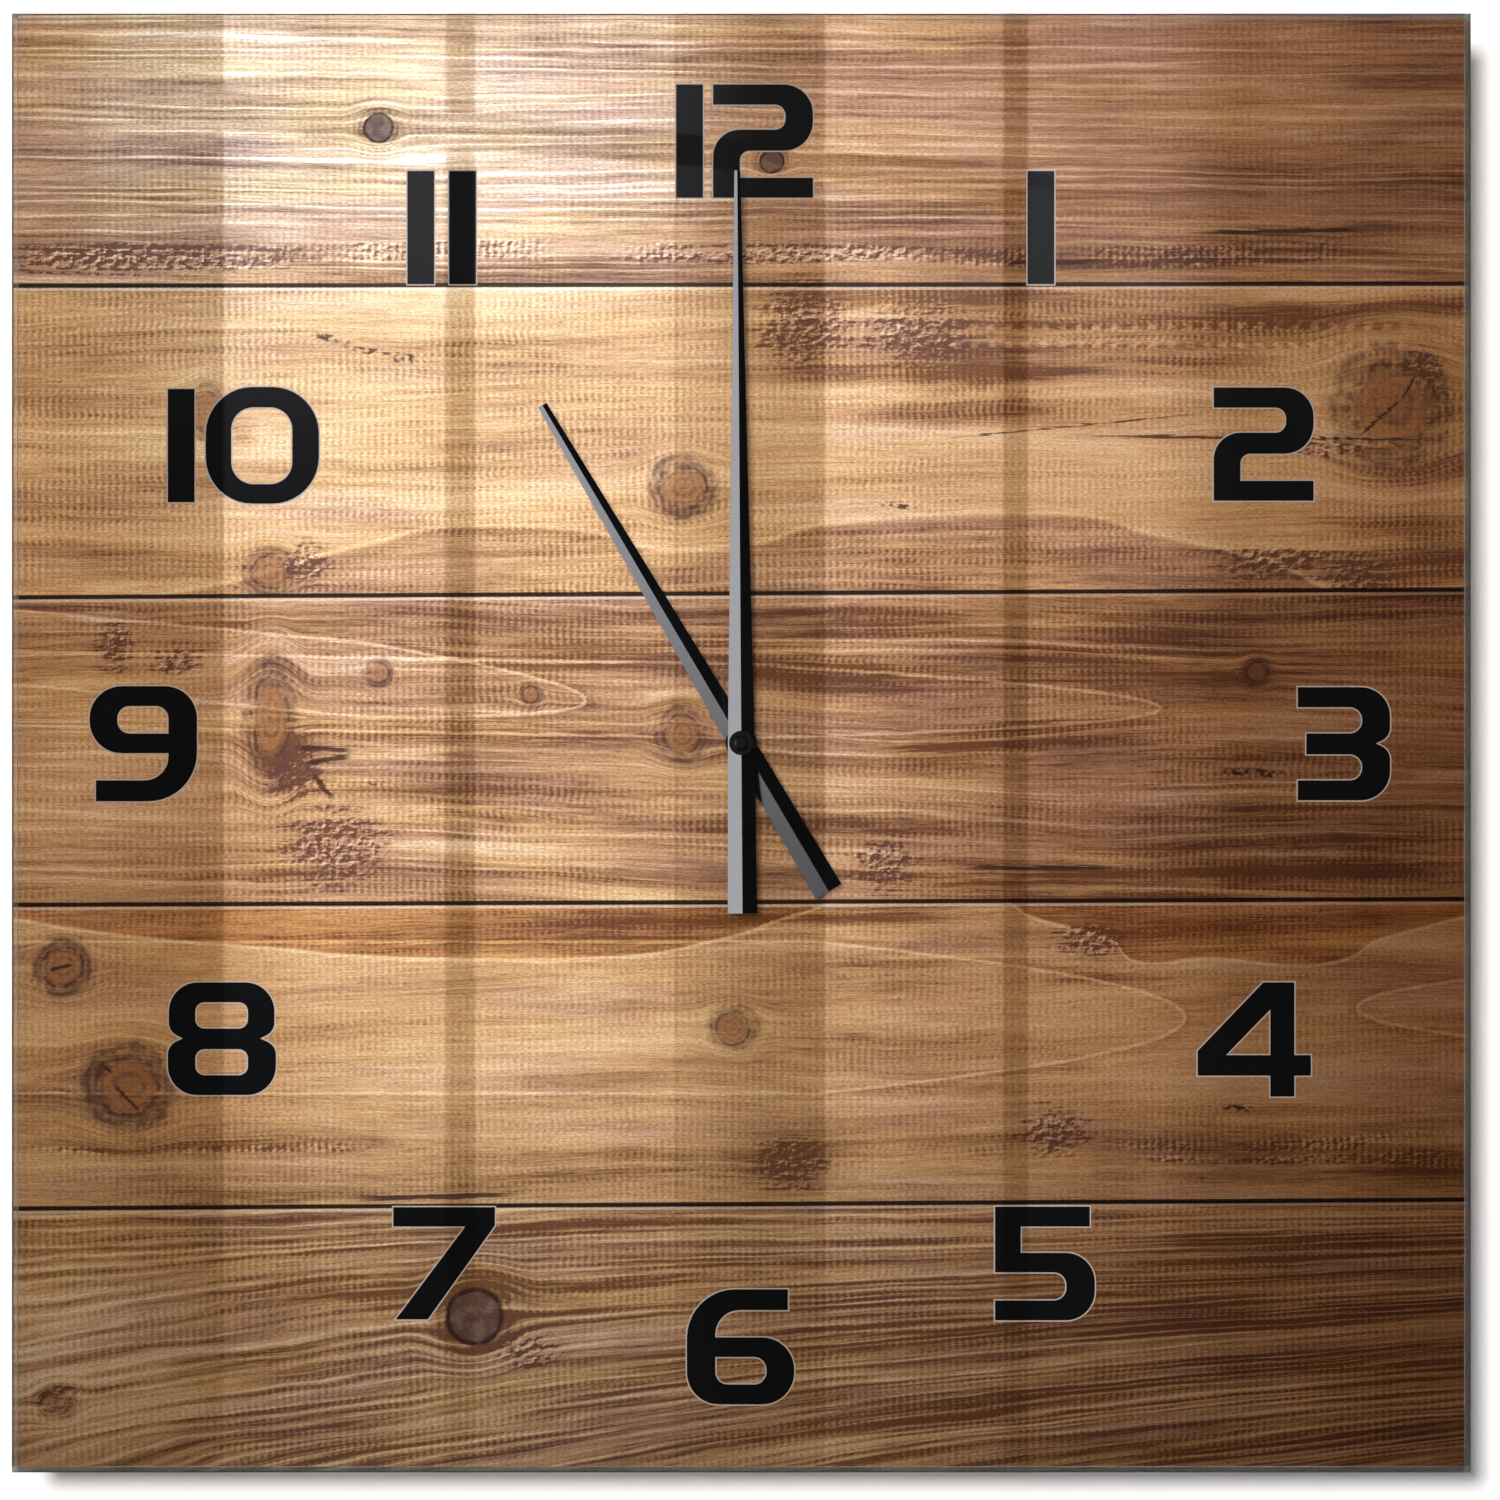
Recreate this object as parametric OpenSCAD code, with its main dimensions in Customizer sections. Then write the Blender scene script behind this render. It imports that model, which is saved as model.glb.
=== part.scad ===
// Square glass wall clock: a glass panel printed on its back, two folded hands and a quartz movement.
// All pieces are drawn on the bench: the dial lies flat about the hand axis, z = 0 is the wall
// and +z looks into the room. The last lines stand the clock up with its keyhole at the origin.

/* [Glass panel] */
// Side of the square glass panel
panel_size = 300; // [240:5:360]
// Thickness of the glass
panel_thk = 4; // [3:0.5:6]
// Width of the ground bevel along each edge
edge_bevel = 1.2; // [0.6:0.1:1.4]
// Thickness of the print on the back of the glass
print_thk = 0.2; // [0.1:0.05:0.4]
// Bare glass left around the print
print_inset = 1.2; // [0.5:0.1:5]

/* [Hands] */
// Minute hand from its axis to its tip
minute_reach = 117.5; // [90:0.5:140]
// Minute hand from its axis to its tail
minute_tail = 35; // [20:0.5:45]
// Width of the minute hand at its tip
minute_tip_w = 1.2; // [0.8:0.1:2]
// Width of the minute hand at its axis
minute_mid_w = 5.5; // [5:0.1:6]
// Width of the minute hand at its tail
minute_tail_w = 6; // [5.5:0.1:7]
// Hour hand from its axis to its tip
hour_reach = 80.5; // [60:0.5:100]
// Hour hand from its axis to its tail
hour_tail = 35.4; // [20:0.1:45]
// Width of the hour hand at its tip
hour_tip_w = 2; // [1:0.1:3]
// Width of the hour hand at its axis
hour_mid_w = 5.2; // [5:0.1:6]
// Width of the hour hand at its tail
hour_tail_w = 6.1; // [5.5:0.1:7]
// Thickness of the sheet that the hands are folded from
hand_sheet = 0.4; // [0.3:0.05:0.6]
// Slope of each side of the folded hands, in degrees
fold_slope = 20; // [10:1:30]
// Clear height under each hand
hand_lift = 0.5; // [0.4:0.1:1]
// Diameter of the minute hand's hub
minute_hub_d = 5; // [4.5:0.1:6]
// Diameter of the cap over the shaft end
cap_d = 3.1; // [3:0.1:4]
// Clockwise angle of the minute hand from twelve, in degrees
minute_angle = -0.4; // [-180:0.1:180]
// Clockwise angle of the hour hand from twelve, in degrees
hour_angle = -30.5; // [-180:0.1:180]

/* [Movement case] */
// Diameter of the dry cell
cell_d = 14.5; // [13.5:0.1:15.5]
// Length of the dry cell over its nub
cell_len = 50.5; // [49:0.1:54]
// Wall thickness of the plastic case
case_wall = 1.2; // [1:0.1:1.6]
// Radius of the case's corners
case_corner = 4; // [3:0.5:5]
// Height of the room for the wheels above the cell
train_room = 37; // [36.5:0.5:42]
// Gap between the case and the wall
wall_gap = 2; // [1:0.25:5]
// Wall of the collar round the hour tube
collar_wall = 0.65; // [0.5:0.05:1]
// Diameter of the hand setting knob
knob_d = 10; // [8:0.5:10.5]
// Thickness of the hand setting knob
knob_thk = 1.6; // [1.2:0.1:2]

/* [Wheels] */
// Thickness of every toothed wheel
wheel_face = 1; // [0.8:0.05:1.1]
// Free height between two layers of wheels
layer_gap = 0.8; // [0.7:0.05:0.9]
// Tooth module of the wheels that turn the hour tube
motion_module = 0.35; // [0.34:0.005:0.36]
// Tooth module between the rotor and its wheel
rotor_module = 0.25; // [0.24:0.005:0.26]
// Tooth module between the intermediate pinion and the second wheel
second_module = 0.3; // [0.295:0.001:0.305]
// Distance from the hand axis to the third wheel's arbor
third_arm = 10.8; // [10.6:0.05:10.9]
// Play between meshed teeth along the pitch circle
tooth_play = 0.08; // [0.06:0.01:0.12]
// Radius of the pivots
pivot_r = 0.3; // [0.25:0.01:0.35]
// Radius of the arbors
arbor_r = 0.45; // [0.4:0.01:0.5]
// Thickness of the bridge that carries the rear pivots
bridge_thk = 1; // [0.8:0.05:1.2]

/* [Motor and circuit] */
// Diameter of the rotor magnet
magnet_d = 5; // [4.6:0.1:5.2]
// Length of the rotor magnet
magnet_len = 2; // [1.6:0.1:2.2]
// Thickness of the stator and of the coil core
lamination = 1; // [0.8:0.1:1.1]
// Diameter of the bobbin's flanges
bobbin_d = 8; // [7:0.1:8.4]
// Length of the bobbin
bobbin_len = 12; // [9:0.5:12.5]
// Thickness of the circuit board
board_thk = 0.8; // [0.6:0.1:1]
// Thickness of the battery contacts
contact_thk = 0.4; // [0.3:0.05:0.5]

/* [Hanger and spacers] */
// Thickness of the steel hanger plate
plate_thk = 1; // [0.8:0.1:1.5]
// Width of the hanger's tab
tab_w = 24; // [18:0.5:30]
// Diameter of the keyhole's round end
key_d = 8; // [7:0.1:10]
// Width of the keyhole's slot
slot_w = 4; // [3:0.1:4.5]
// Length of the slot above the round end
slot_len = 8; // [6:0.5:12]
// Thickness of the foam mounting pad
pad_thk = 1; // [0.5:0.1:2]
// Diameter of the wall spacers
spacer_d = 15; // [10:0.5:20]
// Distance of the spacers from the panel's edges
spacer_inset = 25; // [15:1:60]

/* [Hidden] */
$fn = 48;

// Overlap that makes cuts go clean through
cut = 1;
// Radial clearance of turning shafts
fit = 0.05;
// Radial clearance of pressed seats
seat = 0.02;
// Clearance of sliding and snapped pieces
slip = 0.1;
// End play of the arbors
shake = 0.1;

// Tooth counts
cannon_teeth = 15;
motion_teeth = 45;
motion_leaves = 12;
hour_teeth = 48;
knob_teeth = 15;
rotor_leaves = 8;
intermediate_teeth = 40;
intermediate_leaves = 10;
second_teeth = 60;
second_leaves = 10;
third_teeth = 75;
third_leaves = 10;
centre_teeth = 80;

// Tooth form: pressure angle, and tooth heights as shares of the module
pressure_angle = 25;
leaf_top = 0.9;
wheel_top = 0.8;
tooth_foot = 1.2;

// Directions of the arbors, in degrees
motion_dir = 0;
third_dir = 60;
intermediate_dir = 180;
rotor_dir = 160;
knob_dir = 30;

// Arbor distances and modules
motion_arm = motion_module * (cannon_teeth + motion_teeth) / 2;
hour_module = 2 * motion_arm / (motion_leaves + hour_teeth);
knob_arm = motion_module * (knob_teeth + motion_teeth) / 2;
intermediate_arm = second_module * (intermediate_leaves + second_teeth) / 2;
rotor_arm = rotor_module * (rotor_leaves + intermediate_teeth) / 2;
third_module = 2 * third_arm / (second_leaves + third_teeth);
centre_module = 2 * third_arm / (third_leaves + centre_teeth);

// Places of the arbors about the hand axis
motion_at = polar(motion_arm, motion_dir);
third_at = polar(third_arm, third_dir);
intermediate_at = polar(intermediate_arm, intermediate_dir);
rotor_at = intermediate_at + polar(rotor_arm, rotor_dir);
knob_at = motion_at + polar(knob_arm, knob_dir);

// Turn of each wheel that puts it in mesh at rest
motion_turn = mesh_turn(0, cannon_teeth, motion_teeth, motion_dir);
hour_turn = mesh_turn(0, motion_leaves, hour_teeth, motion_dir + 180);
knob_turn = mesh_turn(motion_turn, motion_teeth, knob_teeth, knob_dir);
intermediate_turn = mesh_turn(0, second_teeth, intermediate_leaves, intermediate_dir);
rotor_turn = mesh_turn(0, intermediate_teeth, rotor_leaves, rotor_dir);
third_turn = mesh_turn(0, second_leaves, third_teeth, third_dir);
centre_turn = mesh_turn(0, third_leaves, centre_teeth, third_dir + 180);

// Concentric shafts, from the second arbor out to the glass
shoulder = 0.3;
cannon_wall = 1;
hour_wall = 0.75;
hole_play = 0.2;
hub_cover = 0.05;
plate_play = 0.3;
collar_short = 0.2;
cannon_bore_r = arbor_r + fit;
cannon_r = cannon_bore_r + cannon_wall;
cannon_seat_r = cannon_r - shoulder;
hour_bore_r = cannon_r + fit;
hour_tube_r = hour_bore_r + hour_wall;
hour_seat_r = hour_tube_r - shoulder;
collar_bore_r = hour_tube_r + fit;
collar_r = collar_bore_r + collar_wall;
glass_hole_r = collar_r + hole_play;
hour_hub_r = glass_hole_r + hub_cover;
plate_hole_r = collar_r + plate_play;

// Wheel layers, counted from the front wall: hour, motion, centre, third, second, intermediate
hour_layer = 0;
motion_layer = 1;
centre_layer = 2;
third_layer = 3;
second_layer = 4;
intermediate_layer = 5;
top_play = 0.6;
leaf_over = 0.3;
boss_play = 0.4;
magnet_play = 0.6;
peg_tail = 0.4;
cover_play = 0.2;
cell_play = 0.15;
train_stack = top_play + 6 * (wheel_face + layer_gap) + bridge_thk + peg_tail + cover_play;

// Depths from the wall
z_rear = wall_gap;
z_cover = z_rear + case_wall;
z_in = z_rear + max(cell_d + 2 * cell_play, train_stack + case_wall);
z_face = z_in + case_wall;
z_pad = z_face + plate_thk;
z_print = z_pad + pad_thk;
z_glass = z_print + print_thk;
z_front = z_glass + panel_thk;
z_bridge = layer_z(intermediate_layer) - layer_gap - bridge_thk;
z_boss = layer_top(centre_layer) + leaf_over + boss_play;

// Motor across the case: the coil lies along x, with the core's ends on the stator's legs
leg_w = 3.2;
leg_gap = 0.8;
leg_eye = 0.2;
coil_shift = 1.1;
coil_x = rotor_at[0] + coil_shift;
leg_x = bobbin_len / 2 + leg_w / 2 + leg_gap;
strip_gap = 0.05;
motor_gap = 0.4;
motor_reach = leg_x - coil_x + leg_w / 2 + leg_eye + motor_gap;

// Case outline about the hand axis, wide enough for the cell and for the motor beside a contact strip
wheel_room = 0.4;
axis_rise = centre_module * (centre_teeth / 2 + wheel_top) + wheel_room;
bay_play = 0.45;
contact_room = 3.1;
bay_h = cell_d + 2 * bay_play;
inner_w = max(cell_len + contact_room, 2 * (motor_reach + contact_thk + strip_gap));
case_w = inner_w + 2 * case_wall;
room_top = train_room - axis_rise;
room_low = -axis_rise;
bay_top = room_low - case_wall;
bay_low = bay_top - bay_h;
case_top = room_top + case_wall;
case_low = bay_low - case_wall;
inner_corner = case_corner - case_wall;
side_x = inner_w / 2;

// Posts that carry the bridge and the board, and the ends of the coil core
post_r = 1.4;
peg_r = 0.7;
bridge_posts = [
    [-side_x + 6.8, room_low + 3.2],
    [side_x - 7.3, room_low + 3.6],
    [-2.2, room_top - 8.3]
];
board_w = 14;
board_h = 11;
board_inset = 1;
board_hole_in = 1.8;
board_rise = 3;
board_at = [side_x - board_inset - board_w, room_top - board_inset - board_h];
board_posts = [
    board_at + [board_w - board_hole_in, board_h - board_hole_in],
    board_at + [board_hole_in, board_h - board_hole_in]
];
z_board = z_cover + board_rise;
z_board_top = z_board + board_thk;

// Motor up the case: the coil lies above the rotor
strip_room = 2.3;
coil_y = room_top - bobbin_d / 2 - strip_room;
leg_left = [coil_x - leg_x, coil_y];
leg_right = [coil_x + leg_x, coil_y];
leg_knee = 8.5;
air_gap = 0.3;
stator_rim = 1;
z_magnet = layer_top(intermediate_layer) + magnet_play;
z_stator = z_magnet + (magnet_len - lamination) / 2;
z_core = z_stator + lamination;
core_w = 2;
bobbin_bore = 0.2;
bobbin_tube = 0.6;
flange_thk = 0.8;
bobbin_tube_r = norm([core_w, lamination]) / 2 + bobbin_bore + bobbin_tube;

// Hands: depth of the ridge of each, and what its fold drops across its width
sheet_rise = hand_sheet / cos(fold_slope);
hub_lift = 0.3;
hub_proud = 0.25;
hub_below = 0.1;
z_hour_hub = z_front + hub_lift;
z_hour_ridge = z_front + hand_lift + sheet_rise + fold_drop(hour_tail_w);
z_minute_hub = z_hour_ridge + hub_lift;
z_minute_ridge = z_hour_ridge + hand_lift + sheet_rise + fold_drop(minute_tail_w);
z_minute_top = z_minute_ridge + hub_proud;
cap_thk = 1.1;
cap_recess = 0.6;
cap_round = 0.5;
shaft_proud = 0.4;

// Hanger: web behind the top of the case, tab against the wall, keyhole in the tab
plate_inset = 3;
plate_corner = 3;
face_lap = 12;
web_gap = 1;
bend_r = 1;
key_rise = 5;
tab_rim = 4;
stake_r = 1;
stake_inset = 6;
stake_low = 9;
stake_high = 7;
plate_w = case_w - 2 * plate_inset;
web_y = case_top + web_gap;
tab_low = web_y + plate_thk;
key_y = tab_low + key_d / 2 + key_rise;
tab_top = key_y + slot_len + slot_w / 2 + tab_rim;
stake_x = plate_w / 2 - stake_inset;
stake_rows = [case_low + stake_low, case_top - stake_high];

// Contacts: end plates in the bay, strips along the walls to the board
strip_w = 3;
contact_x = side_x - strip_gap - contact_thk;
cell_y = (bay_low + bay_top) / 2;
cell_z = z_rear + cell_play + cell_d / 2;
nub_len = 1;
nub_r = 2.75;
cell_tip = contact_x - seat;
cell_end = cell_tip - cell_len;
contact_h = 10;
contact_reach = 8;
tab_len = 4;
tab_drop = 8;
tab_in = 7;

// Cover: lip inside the walls, lugs in the windows of the walls, well for the knob
lip_thk = 1;
lip_h = 1.6;
lug_w = 6;
lug_h = 0.8;
lug_reach = 0.6;
lug_rows = [room_low + 8, room_top - 9];
well_wall = 0.8;
well_play = 0.4;
well_r = knob_d / 2 + well_play;
knob_proud = 0.4;
knob_play = 0.2;
knob_shaft_r = 1.35;
stem_wall = 0.15;
stem_tail = 0.4;
z_knob = z_rear - knob_proud;
z_well = z_knob + knob_thk + knob_play;
well_floor = 1;
stem_r = motion_module * (knob_teeth / 2 + leaf_top) + stem_wall;

function polar(r, a) = [r * cos(a), r * sin(a)];
function layer_z(i) = z_in - top_play - wheel_face - i * (wheel_face + layer_gap);
function layer_top(i) = layer_z(i) + wheel_face;
function fold_drop(w) = w / 2 * tan(fold_slope);

// Turn of a wheel b that meshes with a wheel a turned by a_turn, with b in direction dir from a
function mesh_turn(a_turn, a_teeth, b_teeth, dir) =
    dir + 180 - (a_turn - dir) * a_teeth / b_teeth + 180 / b_teeth;

// Involute tooth flanks: half the tooth's angle at a radius
function involute(base_r, r) =
    r <= base_r ? 0 : tan(acos(base_r / r)) * 180 / PI - acos(base_r / r);
function half_tooth(m, teeth, r) =
    let (pitch_r = m * teeth / 2, base_r = pitch_r * cos(pressure_angle))
    90 / teeth - tooth_play / 4 / pitch_r * 180 / PI
        + involute(base_r, pitch_r) - involute(base_r, r);
function gear_outline(m, teeth, top) =
    let (
        pitch_r = m * teeth / 2,
        foot_r = pitch_r - tooth_foot * m,
        top_r = pitch_r + top * m,
        flank = [foot_r, pitch_r, top_r]
    )
    [
        for (i = [0:teeth - 1], side = [-1, 1], k = [0:2])
        let (r = flank[side < 0 ? k : 2 - k])
        polar(r, 360 * i / teeth + side * half_tooth(m, teeth, r))
    ];

module gear(m, teeth, top, z, thk, turn) {
    translate([0, 0, z])
        rotate(turn)
        linear_extrude(thk)
        polygon(gear_outline(m, teeth, top));
}

// Toothed wheel in a layer, with a ring of round windows in its web
module wheel(m, teeth, layer, turn, windows) {
    rim_w = 0.8;
    hub_r = 2.4;
    widest = 2.4;
    rim_r = m * (teeth / 2 - tooth_foot) - rim_w;
    window_r = min((rim_r - hub_r) / 2, widest);
    difference() {
        gear(m, teeth, wheel_top, layer_z(layer), wheel_face, turn);
        for (i = [0:1:windows - 1]) {
            rotate(360 * i / windows)
                translate([rim_r - window_r, 0, layer_z(layer) - cut])
                cylinder(r = window_r, h = wheel_face + 2 * cut);
        }
    }
}

// Pinion whose leaves reach a little past the wheel of the same layer
module pinion(m, leaves, layer, turn) {
    gear(m, leaves, leaf_top, layer_z(layer) - leaf_over, wheel_face + 2 * leaf_over, turn);
}

module rod(r, z0, z1) {
    translate([0, 0, z0])
        cylinder(r = r, h = z1 - z0);
}

module rod_at(at, r, z0, z1) {
    translate([at[0], at[1], 0])
        rod(r, z0, z1);
}

// Arbor between the bridge and a front bearing, with a pivot at each end
module arbor(z_bearing, depth) {
    rod(arbor_r, z_bridge + bridge_thk + shake, z_bearing - shake);
    rod(pivot_r, z_bridge + shake, z_bearing + depth - shake);
}

// Rectangle with round corners, from its low corner to its high corner
module round_box(low, high, r) {
    size = high - low;
    translate(low + [r, 0])
        square([size[0] - 2 * r, size[1]]);
    translate(low + [0, r])
        square([size[0], size[1] - 2 * r]);
    for (x = [low[0] + r, high[0] - r], y = [low[1] + r, high[1] - r]) {
        translate([x, y])
            circle(r);
    }
}

// Flat bar between two points, with round eyes that are wider than the bar by eye on each side
module bar(a, b, w, eye = 0) {
    run = b - a;
    for (p = [a, b]) {
        translate(p)
            circle(w / 2 + eye);
    }
    translate(a)
        rotate(atan2(run[1], run[0]))
        translate([0, -w / 2])
        square([norm(run), w]);
}

module slab(z0, z1) {
    translate([0, 0, z0])
        linear_extrude(z1 - z0)
        children();
}

module block(low, high) {
    translate(low)
        cube(high - low);
}

module case_outline(inset) {
    round_box(
        [-case_w / 2 + inset, case_low + inset],
        [case_w / 2 - inset, case_top - inset],
        case_corner - inset
    );
}

// Plate with both rims bevelled along one direction, seen as its cross-section
module bevelled_section(size, thk, bevel) {
    half = size / 2;
    edge_flat = 0.8;
    side = min(bevel, (thk - edge_flat) / 2);
    polygon([
        [-half + bevel, 0], [half - bevel, 0], [half, side], [half, thk - side],
        [half - bevel, thk], [-half + bevel, thk], [-half, thk - side], [-half, side]
    ]);
}

module glass_panel() {
    color("PaleTurquoise", 0.4)
        translate([0, 0, z_glass])
        difference() {
            intersection() {
                rotate([90, 0, 0])
                    linear_extrude(panel_size, center = true)
                    bevelled_section(panel_size, panel_thk, edge_bevel);
                rotate([90, 0, 90])
                    linear_extrude(panel_size, center = true)
                    bevelled_section(panel_size, panel_thk, edge_bevel);
            }
            rod(glass_hole_r, -cut, panel_thk + cut);
        }
}

module dial_print() {
    print_size = panel_size - 2 * max(print_inset, edge_bevel);
    color("Peru")
        slab(z_print, z_glass)
        difference() {
            square(print_size, center = true);
            circle(glass_hole_r);
        }
}

module mounting_pad() {
    pad_inset = 2;
    color("WhiteSmoke")
        slab(z_pad, z_print)
        difference() {
            case_outline(pad_inset);
            circle(plate_hole_r);
        }
}

// Side view of the hanger: face plate, web with a bend at each end, tab
module hanger_side() {
    mid_r = bend_r + plate_thk;
    translate([case_top - face_lap, z_face])
        square([web_y - bend_r - case_top + face_lap, plate_thk]);
    translate([web_y, mid_r])
        square([plate_thk, z_face - bend_r - mid_r]);
    translate([tab_low + bend_r, 0])
        square([tab_top - tab_w / 2 - tab_low - bend_r, plate_thk]);
    translate([web_y - bend_r, z_face - bend_r])
        intersection() {
            difference() {
                circle(mid_r);
                circle(bend_r);
            }
            square(mid_r);
        }
    translate([tab_low + bend_r, mid_r])
        intersection() {
            difference() {
                circle(mid_r);
                circle(bend_r);
            }
            translate([-mid_r, -mid_r])
                square(mid_r);
        }
}

module keyhole() {
    translate([0, key_y])
        circle(key_d / 2);
    bar([0, key_y], [0, key_y + slot_len], slot_w);
}

module hanger_plate() {
    tab_mid = tab_top - tab_w / 2;
    color("Silver")
        difference() {
            union() {
                slab(z_face, z_pad)
                    round_box(
                        [-plate_w / 2, case_low + plate_inset],
                        [plate_w / 2, case_top - plate_inset],
                        plate_corner
                    );
                rotate([90, 0, 90])
                    linear_extrude(tab_w, center = true)
                    hanger_side();
                slab(0, plate_thk)
                    translate([0, tab_mid])
                    difference() {
                        circle(tab_w / 2);
                        translate([-tab_w, -2 * tab_w])
                            square(2 * tab_w);
                    }
            }
            rod(plate_hole_r, z_face - cut, z_pad + cut);
            for (x = [-stake_x, stake_x], y = stake_rows) {
                rod_at([x, y], stake_r + slip, z_face - cut, z_pad + cut);
            }
            slab(-cut, plate_thk + cut)
                keyhole();
        }
}

// Hollow box of the case: a room for the wheels and a bay for the cell, open to the rear
module case_shell() {
    difference() {
        slab(z_rear, z_face)
            case_outline(0);
        slab(z_rear - cut, z_in)
            intersection() {
                case_outline(case_wall);
                translate([-case_w, room_low])
                    square([2 * case_w, train_room + cut]);
            }
        slab(z_rear - cut, z_in)
            intersection() {
                case_outline(case_wall);
                translate([-case_w, bay_low - cut])
                    square([2 * case_w, bay_h + cut]);
            }
        block([-case_w, bay_top, z_rear - cut], [case_w, case_top + cut, z_cover]);
        strip_slots();
        for (y = lug_rows) {
            block(
                [-case_w, y - lug_w / 2 - slip, lug_z() - slip],
                [case_w, y + lug_w / 2 + slip, lug_z() + lug_h + slip]
            );
        }
    }
}

function lug_z() = z_cover + lip_h - lug_h;

// Slots that let the contact strips pass from the bay to the wheel room
module strip_slots() {
    slot_play = 0.4;
    deep = strip_gap + contact_thk + slot_play;
    for (x = [-side_x, side_x - deep]) {
        block(
            [x, bay_top - cut, z_board_top - slip],
            [x + deep, room_low + cut, z_board_top + strip_w + slip]
        );
    }
}

// Round posts and bearing bosses that stand on the inside of the front wall
module case_posts() {
    for (p = bridge_posts) {
        rod_at(p, post_r, z_bridge + bridge_thk, z_in + cut / 2);
        rod_at(p, peg_r, z_bridge - peg_tail, z_in);
    }
    for (p = board_posts) {
        rod_at(p, post_r, z_board_top, z_in + cut / 2);
        rod_at(p, peg_r, z_board - peg_tail, z_in);
    }
    for (p = [leg_left, leg_right]) {
        rod_at(p, post_r, z_core + lamination, z_in + cut / 2);
        rod_at(p, peg_r, z_stator - peg_tail, z_in);
    }
    rod_at(third_at, post_r, z_boss, z_in + cut / 2);
    rod_at(intermediate_at, post_r, z_boss, z_in + cut / 2);
    rod_at(rotor_at, post_r, rotor_bearing(), z_in + cut / 2);
    rod_at(knob_at, post_r + pivot_r, knob_bearing(), z_in + cut / 2);
}

function rotor_bearing() = z_magnet + magnet_len + magnet_play;
function knob_bearing() = layer_top(motion_layer) + leaf_over + boss_play;
bearing_depth = 1.2;
wall_bearing = 0.8;
knob_pivot_r = 0.8;

module front_case() {
    color("DimGray")
        difference() {
            union() {
                case_shell();
                case_posts();
                rod(collar_r, z_in, z_front - collar_short);
                for (x = [-stake_x, stake_x], y = stake_rows) {
                    rod_at([x, y], stake_r, z_in + cut / 2, z_pad);
                }
            }
            rod(collar_bore_r, z_in - cut, z_front + cut);
            for (p = [[third_at, z_boss], [intermediate_at, z_boss], [rotor_at, rotor_bearing()]]) {
                rod_at(p[0], pivot_r + fit, p[1] - cut, p[1] + bearing_depth);
            }
            rod_at(motion_at, pivot_r + fit, z_in - cut, z_in + wall_bearing);
            rod_at(knob_at, knob_pivot_r + fit, knob_bearing() - cut, knob_bearing() + bearing_depth);
        }
}

module rear_cover() {
    room_inset = case_wall + slip;
    color("Gray")
        difference() {
            union() {
                slab(z_rear, z_cover)
                    intersection() {
                        case_outline(0);
                        translate([-case_w, bay_top])
                            square([2 * case_w, case_top - bay_top]);
                    }
                slab(z_cover, z_cover + lip_h)
                    difference() {
                        intersection() {
                            case_outline(room_inset);
                            translate([-case_w, room_low + slip])
                                square([2 * case_w, train_room]);
                        }
                        intersection() {
                            case_outline(room_inset + lip_thk);
                            translate([-case_w, room_low + slip + lip_thk])
                                square([2 * case_w, train_room]);
                        }
                    }
                for (y = lug_rows) {
                    for (side = [-1, 1]) {
                        block(
                            [side * (side_x - slip) - lug_reach, y - lug_w / 2, lug_z()],
                            [side * (side_x - slip) + lug_reach, y + lug_w / 2, lug_z() + lug_h]
                        );
                    }
                }
                rod_at(knob_at, well_r + well_wall, z_rear, z_well + well_floor);
            }
            rod_at(knob_at, well_r, z_rear - cut, z_well);
            rod_at(knob_at, stem_r + fit, z_rear - cut, z_well + well_floor + cut);
        }
}

module gear_bridge() {
    main_w = 3.6;
    main_eye = 0.6;
    branch_w = 3;
    branch_eye = 0.4;
    color("Ivory")
        difference() {
            slab(z_bridge, z_bridge + bridge_thk) {
                bar(intermediate_at, motion_at, main_w, main_eye);
                bar(intermediate_at, bridge_posts[0], branch_w, branch_eye);
                bar(intermediate_at, rotor_at, branch_w, branch_eye);
                bar(motion_at, bridge_posts[1], branch_w, branch_eye);
                bar([0, 0], third_at, branch_w, branch_eye);
                bar([0, 0], bridge_posts[2], branch_w, branch_eye);
            }
            for (p = [[0, 0], third_at, intermediate_at, rotor_at, motion_at]) {
                rod_at(p, pivot_r + fit, z_bridge - cut, z_bridge + bridge_thk + cut);
            }
            for (p = bridge_posts) {
                rod_at(p, peg_r + fit, z_bridge - cut, z_bridge + bridge_thk + cut);
            }
        }
}

module battery() {
    r = cell_d / 2;
    can = cell_len - nub_len;
    rim = 0.5;
    groove_in = 1.5;
    groove_out = 1.2;
    groove = 0.2;
    nub_round = 0.2;
    color("DarkGoldenrod")
        translate([cell_end, cell_y, cell_z])
        rotate([0, 90, 0])
        rotate_extrude()
        polygon([
            [0, 0], [r - groove_in, 0], [r - groove_in, groove], [r - groove_out, groove], [r - rim, 0],
            [r, rim], [r, can - rim], [r - rim, can], [nub_r, can], [nub_r, cell_len - nub_round],
            [nub_r - nub_round, cell_len], [0, cell_len]
        ]);
}

// Band of sheet that follows the inside of the case walls
module wall_band() {
    difference() {
        case_outline(case_wall + strip_gap);
        case_outline(case_wall + strip_gap + contact_thk);
    }
}

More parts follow.
